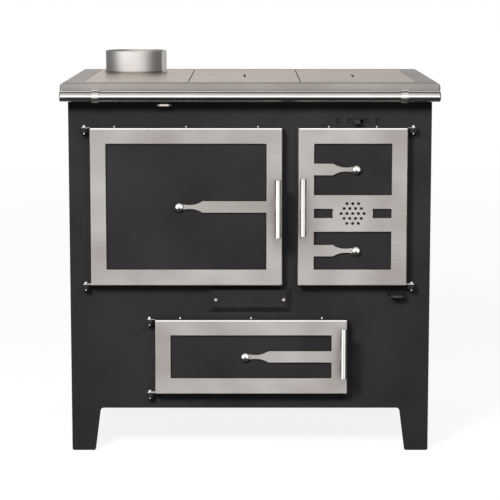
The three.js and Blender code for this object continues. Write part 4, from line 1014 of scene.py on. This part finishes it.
# %% [markdown]
# The fire door has two windows with a short strap each. Between them runs a band with two slots and
# a plain disc with 19 round air holes. One hole's cutter is copied to its places, and all of them
# cut as one tool.

# %% Fire door fascia
BAND_HALF, SLOT_HALF, DISC_BAND = 41.5, 10.5, 46
HOLE_RADIUS, HOLE_PITCH, HOLE_RINGS = 3.2, 13, 2
BAND_BELOW_MIDDLE = 14.75

outline, window = door_plan("fire_door")
fire_middle = (outline.left + outline.right) / 2
band_z = (outline.bottom + outline.top) / 2 - BAND_BELOW_MIDDLE
upper = window._replace(bottom=band_z + BAND_HALF)
lower = window._replace(top=band_z - BAND_HALF)
slots = add_slab("slots", window._replace(bottom=band_z - SLOT_HALF, top=band_z + SLOT_HALF),
                 PUNCH)
cut(slots, add_bar("disc", (fire_middle, PUNCH[0] - PUNCH_ROOM, band_z),
                   (fire_middle, PUNCH[1] + PUNCH_ROOM, band_z), DISC_BAND, 96))

first_hole = add_bar("hole", (fire_middle, PUNCH[0], band_z), (fire_middle, PUNCH[1], band_z),
                     HOLE_RADIUS, 24)
holes = []
for column in range(-HOLE_RINGS, HOLE_RINGS + 1):
    for row in range(-HOLE_RINGS, HOLE_RINGS + 1):
        if abs(column + row) <= HOLE_RINGS and (column, row) != (0, 0):
            right = HOLE_PITCH * (column + row / 2)
            rise = HOLE_PITCH * row * math.sqrt(3) / 2
            holes.append(copy_of(first_hole, "hole", (right, 0, rise)))
gather(first_hole, holes)
print("air holes:", len(holes) + 1)
add_fascia("fire_door", 1,
           [(area, [(window.left, (area.bottom + area.top) / 2, 1, SHORT_STRAP)])
            for area in (upper, lower)], (slots, first_hole))

# %% [markdown]
# A polished stud with a low dome closes the end of each strap. Its short straight rim draws the
# dark ring round it. A round bar on two posts is the handle, with its ends rounded off a little.

# %% Studs and handles
STUD_RADIUS, STUD_RIM, STUD_SINK = 9.6, 2.4, 0.1
BAR_RADIUS, POST_RADIUS, POST_FROM_END = 7.2, 5, 15


def add_stud(node_name, body):
    """A short rim with a dome sunk a little into it."""
    low, high = box_of(node_name)
    x, _, z = middle_of(low, high)
    rim_y = high.y - STUD_RIM
    stud = add_bar(node_name + "_dome", (x, rim_y, z), (x, high.y, z), STUD_RADIUS)
    join(stud, add_dome("dome", (x, rim_y + STUD_SINK, z), (0, -1, 0), STUD_RADIUS,
                        rim_y - low.y, 48))
    finish_piece(stud, POLISHED, body, "polished_steel", node_name)


def add_handle(prefix):
    """A bar with two posts, as long as the frame's own handle."""
    low, high = box_of(prefix + "_handle")
    x, y = middle_of(low, high)[0], low.y + BAR_RADIUS
    handle = add_bar(prefix + "_grip", (x, y, low.z), (x, y, high.z), BAR_RADIUS)
    soften(handle, STAMPED, 3)
    for z in (low.z + POST_FROM_END, high.z - POST_FROM_END):
        join(handle, add_bar("post", (x, y, z), (x, high.y, z), POST_RADIUS, 40))
    finish_piece(handle, POLISHED, prefix, "polished_steel", prefix + "_handle")


add_stud("oven_door_stud", "oven_door")
add_stud("fire_door_stud_upper", "fire_door")
add_stud("fire_door_stud_lower", "fire_door")
add_stud("storage_door_stud", "storage_door")
for prefix in ("oven_door", "fire_door", "storage_door"):
    add_handle(prefix)

# %% [markdown]
# Each door hangs on two pins that drop through its ears into knuckles on the body. A pin is built
# up like a turned part, from a thin tip to a domed head, each length running a little into the next
# so that they join as one solid.

# %% Hinge pins
PIN_RADIUS, TIP_RADIUS, TIP_LENGTH = 3.8, 1.8, 4
HEAD_RADIUS, HEAD_DOME, HEAD_HEIGHT, NECK_RADIUS = 4.8, 4.0, 6.5, 4.2
HEAD_ROOM = 8.5       # the frame's own head height, over the ear
OVERLAP = 1           # how far joined lengths run into each other

for prefix in ("oven", "fire", "storage"):
    for level in ("upper", "lower"):
        node_name = f"{prefix}_hinge_pin_{level}"
        low, high = box_of(node_name)
        x, y, _ = middle_of(low, high)
        shoulder, ear = low.z + TIP_LENGTH, high.z - HEAD_ROOM
        dome_z = ear + HEAD_HEIGHT - HEAD_DOME
        pin = add_bar(f"{prefix}_pin_{level}", (x, y, shoulder), (x, y, ear + OVERLAP),
                      PIN_RADIUS, 32)
        tip = add_bar("tip", (x, y, low.z), (x, y, shoulder + OVERLAP), TIP_RADIUS, 24)
        soften(tip, STAMPED)
        neck = add_bar("neck", (x, y, ear), (x, y, dome_z + OVERLAP), NECK_RADIUS, 32)
        head = add_dome("head", (x, y, dome_z), (0, 0, 1), HEAD_RADIUS, HEAD_DOME)
        join(pin, tip, neck, head)
        finish_piece(pin, POLISHED, prefix + "_door", "stainless", node_name)

# %% [markdown]
# Small bright screws hold the fascia to the pan along its top fold. Only their round heads show, so
# each is one dome on the sheet. They have no CAD node of their own.

# %% Flange screws
SCREW_RADIUS, SCREW_HEIGHT, SCREW_FROM_EDGE = 3.0, 3.9, 0.4
screw_y = fascia_front + FASCIA_DEPTH - SCREW_RADIUS - SCREW_FROM_EDGE
for prefix, offsets in (("oven_door", (-162, 0, 162)), ("fire_door", (-54, 54)),
                        ("storage_door", (-162, 0, 162))):
    outline = door_plan(prefix)[0]
    middle = (outline.left + outline.right) / 2
    for number, offset in enumerate(offsets, 1):
        screw = add_dome(f"{prefix}_screw_{number}", (middle + offset, screw_y, outline.top),
                         (0, 0, 1), SCREW_RADIUS, SCREW_HEIGHT, 24)
        finish_piece(screw, POLISHED, prefix, "polished_steel")

# %% [markdown]
# Behind the fascia each door has its painted pan and an inner plate with the latch tongue. The one
# of the fire door is cast, because sheet would warp so near the flames.

# %% Pans and inner plates
for prefix, inner, inner_slot in (("oven_door", DARKENED_STEEL, "dark_steel"),
                                  ("fire_door", CAST_IRON, "cast_iron"),
                                  ("storage_door", DARKENED_STEEL, "dark_steel")):
    dress_sheet(prefix + "_pan", prefix + "_panel", PRESSED, STOVE_PAINT, prefix, "black_paint", 3)
    dress_sheet(prefix + "_liner", prefix + "_inner_plate", FOLDED, inner, prefix, inner_slot)

# %% [markdown]
# A braided rope runs round the oven and fire openings. It could be a curve with a round profile.
# Here it starts as a ring: each half is moved out to its side, so that the rounds become the
# corners and the sides are stretched between them. Then it is pressed to its groove's depth.

# %% Seals
ROPE_WIDTH, ROPE_CORNER = 7, 10
ON_AXIS = 1e-7        # metres: points nearer to the middle line stay where they are


def add_rope(prefix):
    """A rope round the frame's own seal, with rounded corners."""
    low, high = box_of(prefix + "_rope")
    bend = ROPE_CORNER - ROPE_WIDTH / 2
    centre = [c * MM for c in middle_of(low, high)]
    rope = new_shape(
        prefix + "_seal", bpy.ops.mesh.primitive_torus_add, major_segments=48, minor_segments=14,
        major_radius=bend * MM, minor_radius=ROPE_WIDTH / 2 * MM, location=centre,
        rotation=(math.pi / 2, 0, 0))
    for axis in (0, 2):
        out = (high[axis] - low[axis]) / 2 - bend - ROPE_WIDTH / 2
        for way in (-1, 1):
            pick(rope, lambda v: way * (v.co[axis] - centre[axis]) > ON_AXIS, "VERT")
            move = [0, 0, 0]
            move[axis] = way * out * MM
            bpy.ops.transform.translate(value=move)
            leave(rope)
    pick(rope, lambda v: True, "VERT")
    bpy.ops.transform.resize(value=(1, (high.y - low.y) / ROPE_WIDTH, 1), center_override=centre)
    leave(rope)
    finish_piece(rope, SEAL_ROPE, prefix, "rope_seal", prefix + "_rope")


add_rope("oven_door")
add_rope("fire_door")

# %% [markdown]
# Above the fire door a black knob on a short stem moves the air register, a painted slide with four
# vents. A ring is pressed round each vent: the tool is a block with a rounded pad left out of it.

# %% Air register
KNOB_LENGTH, KNOB_EDGE, STEM_RADIUS = 14, 3.0, 3
SLIDE_EDGE = 0.2
VENTS_X, VENT_Z = (199.85, 224.75, 264.25, 289.15), 762.3
VENT_WIDTH, VENT_HEIGHT, VENT_ROOM = 9, 12.5, 0.2
GROOVE_WIDTH, GROOVE_DEPTH, GROOVE_CORNER = 2.3, 1.3, 1.5
TOOL_REACH, PAD_REACH = 3, 5    # how far the press tool and its pad stand out of the slide

low, high = box_of("air_register_knob")
x, _, z = middle_of(low, high)
knob = add_bar("register_knob", (x, low.y, z), (x, low.y + KNOB_LENGTH, z),
               (high.z - low.z) / 2)
soften(knob, KNOB_EDGE, 5)
join(knob, add_bar("stem", (x, low.y + KNOB_LENGTH - OVERLAP, z), (x, high.y, z), STEM_RADIUS, 24))
finish_piece(knob, PHENOLIC, "air_register", "black_plastic", "air_register_knob")

slide = soften(bare_copy("air_register_slide", "register_slide"), SLIDE_EDGE)
front = box_of("air_register_slide")[0].y
for x in VENTS_X:
    vent = Area(x - VENT_WIDTH / 2, x + VENT_WIDTH / 2, VENT_Z - VENT_HEIGHT / 2,
                VENT_Z + VENT_HEIGHT / 2)
    ring = grown(vent, VENT_ROOM)
    groove = add_slab("groove", ring, (front - TOOL_REACH, front + GROOVE_DEPTH))
    pad = add_slab("pad", grown(ring, -GROOVE_WIDTH),
                   (front - PAD_REACH, front + PAD_REACH))
    cut(groove, soften(pad, GROOVE_CORNER, 3))
    cut(slide, groove)
finish_piece(slide, STOVE_PAINT, "air_register", "black_paint", "air_register_slide")

# %% [markdown]
# The clean-out cover below the oven is a shallow pressed tray held by two slotted screws, and two
# flat pulls work the flue damper and the air under the grate. A screw is a dome with its slot sawn
# in, and the rest are sheet copies.

# %% Cover and pulls
SCREW_HEAD, SLOT_HALF_WIDTH, SLOT_DEPTH, SLOT_HALF_LENGTH = 5.4, 0.7, 1.4, 4
BLADE_REACH = 2       # how far the saw stands out of the slot
dress_sheet("cleanout_cover", "soot_cover", DRAWN, STOVE_PAINT, "stove", "black_paint", 3)
dress_sheet("damper_valve", "flue_damper_pull", STAMPED, ZINC, "flue_damper", "dark_steel")
dress_sheet("primary_air_slide", "primary_air_pull", STAMPED, DARKENED_STEEL, "primary_air",
            "dark_steel")
for side in ("left", "right"):
    low, high = box_of("cleanout_screw_" + side)
    x, _, z = middle_of(low, high)
    screw = add_dome("soot_cover_screw_" + side, (x, high.y, z), (0, -1, 0), SCREW_HEAD,
                     high.y - low.y)
    cut(screw, add_block("slot", (x - SLOT_HALF_WIDTH, low.y - BLADE_REACH, z - SLOT_HALF_LENGTH),
                         (x + SLOT_HALF_WIDTH, low.y + SLOT_DEPTH, z + SLOT_HALF_LENGTH)))
    finish_piece(screw, ZINC, "stove", "dark_steel", "cleanout_screw_" + side)

# %% [markdown]
# The oven rack is welded from round bright wire: a frame and cross wires from front to back. One
# wire is modelled and the rest are copies of it.

# %% Oven rack
WIRE, RACK_WIRES = 2.5, 14
low, high = box_of("oven_rack")
left, right, near, far = low.x + WIRE, high.x - WIRE, low.y + WIRE, high.y - WIRE
z = middle_of(low, high)[2]
rack = add_bar("oven_wire_rack", (left, near, z), (right, near, z), WIRE, 20)
wire = add_bar("rack_wire", (left, near, z), (left, far, z), WIRE, 16)
pitch = (right - left) / RACK_WIRES
wires = [copy_of(rack, "rack_back", (0, far - near, 0)), wire]
wires += [copy_of(wire, "rack_wire", (i * pitch, 0, 0)) for i in range(1, RACK_WIRES + 1)]
gather(rack, wires)
finish_piece(rack, POLISHED, "rack", "polished_steel", "oven_rack")

# %% [markdown]
# The firebox is lined with bricks, and a cast grate lies on their lower course. The bricks' edges
# are worn, so they get a wider radius than steel. The oven, the storage box and the ash pan are
# plain folded sheet.

# %% Firebox, oven and boxes
for side in ("left", "right", "back"):
    dress_sheet("firebrick_" + side, "fire_bricks_" + side, WORN, FIREBRICK, "stove", "firebrick")
dress_sheet("fire_grate", "grate", CAST, CAST_IRON, "stove", "cast_iron")
for node_name, name, body in (("ash_pan", "ash_tray_pan", "ash_tray"),
                              ("oven_box", "oven_lining", "stove"),
                              ("storage_box", "storage_lining", "stove")):
    dress_sheet(node_name, name, SHEARED, DARKENED_STEEL, body, "dark_steel")

# %% [markdown]
# What is left of the frame stays as it is and only gets its finish: plates and walls inside the
# body, which show only through an open door or from below. New shapes for them would never be seen.

# %% Plain inner parts
KEPT = {"base_plate": STOVE_PAINT, "smoke_floor": DARKENED_STEEL, "smoke_divider": DARKENED_STEEL,
        "flue_box": DARKENED_STEEL, "firebox_shell": DARKENED_STEEL}
for node_name, material in KEPT.items():
    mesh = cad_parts[node_name].data
    mesh.materials.clear()
    mesh.materials.append(material)

bare = [name for name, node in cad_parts.items() if not node.hide_render and name not in KEPT]
print("CAD nodes without a finish:", bare)

# %% [markdown]
# The picture is made with plain view settings, so white stays white.

# %% View
bpy.context.scene.view_settings.view_transform = "Standard"
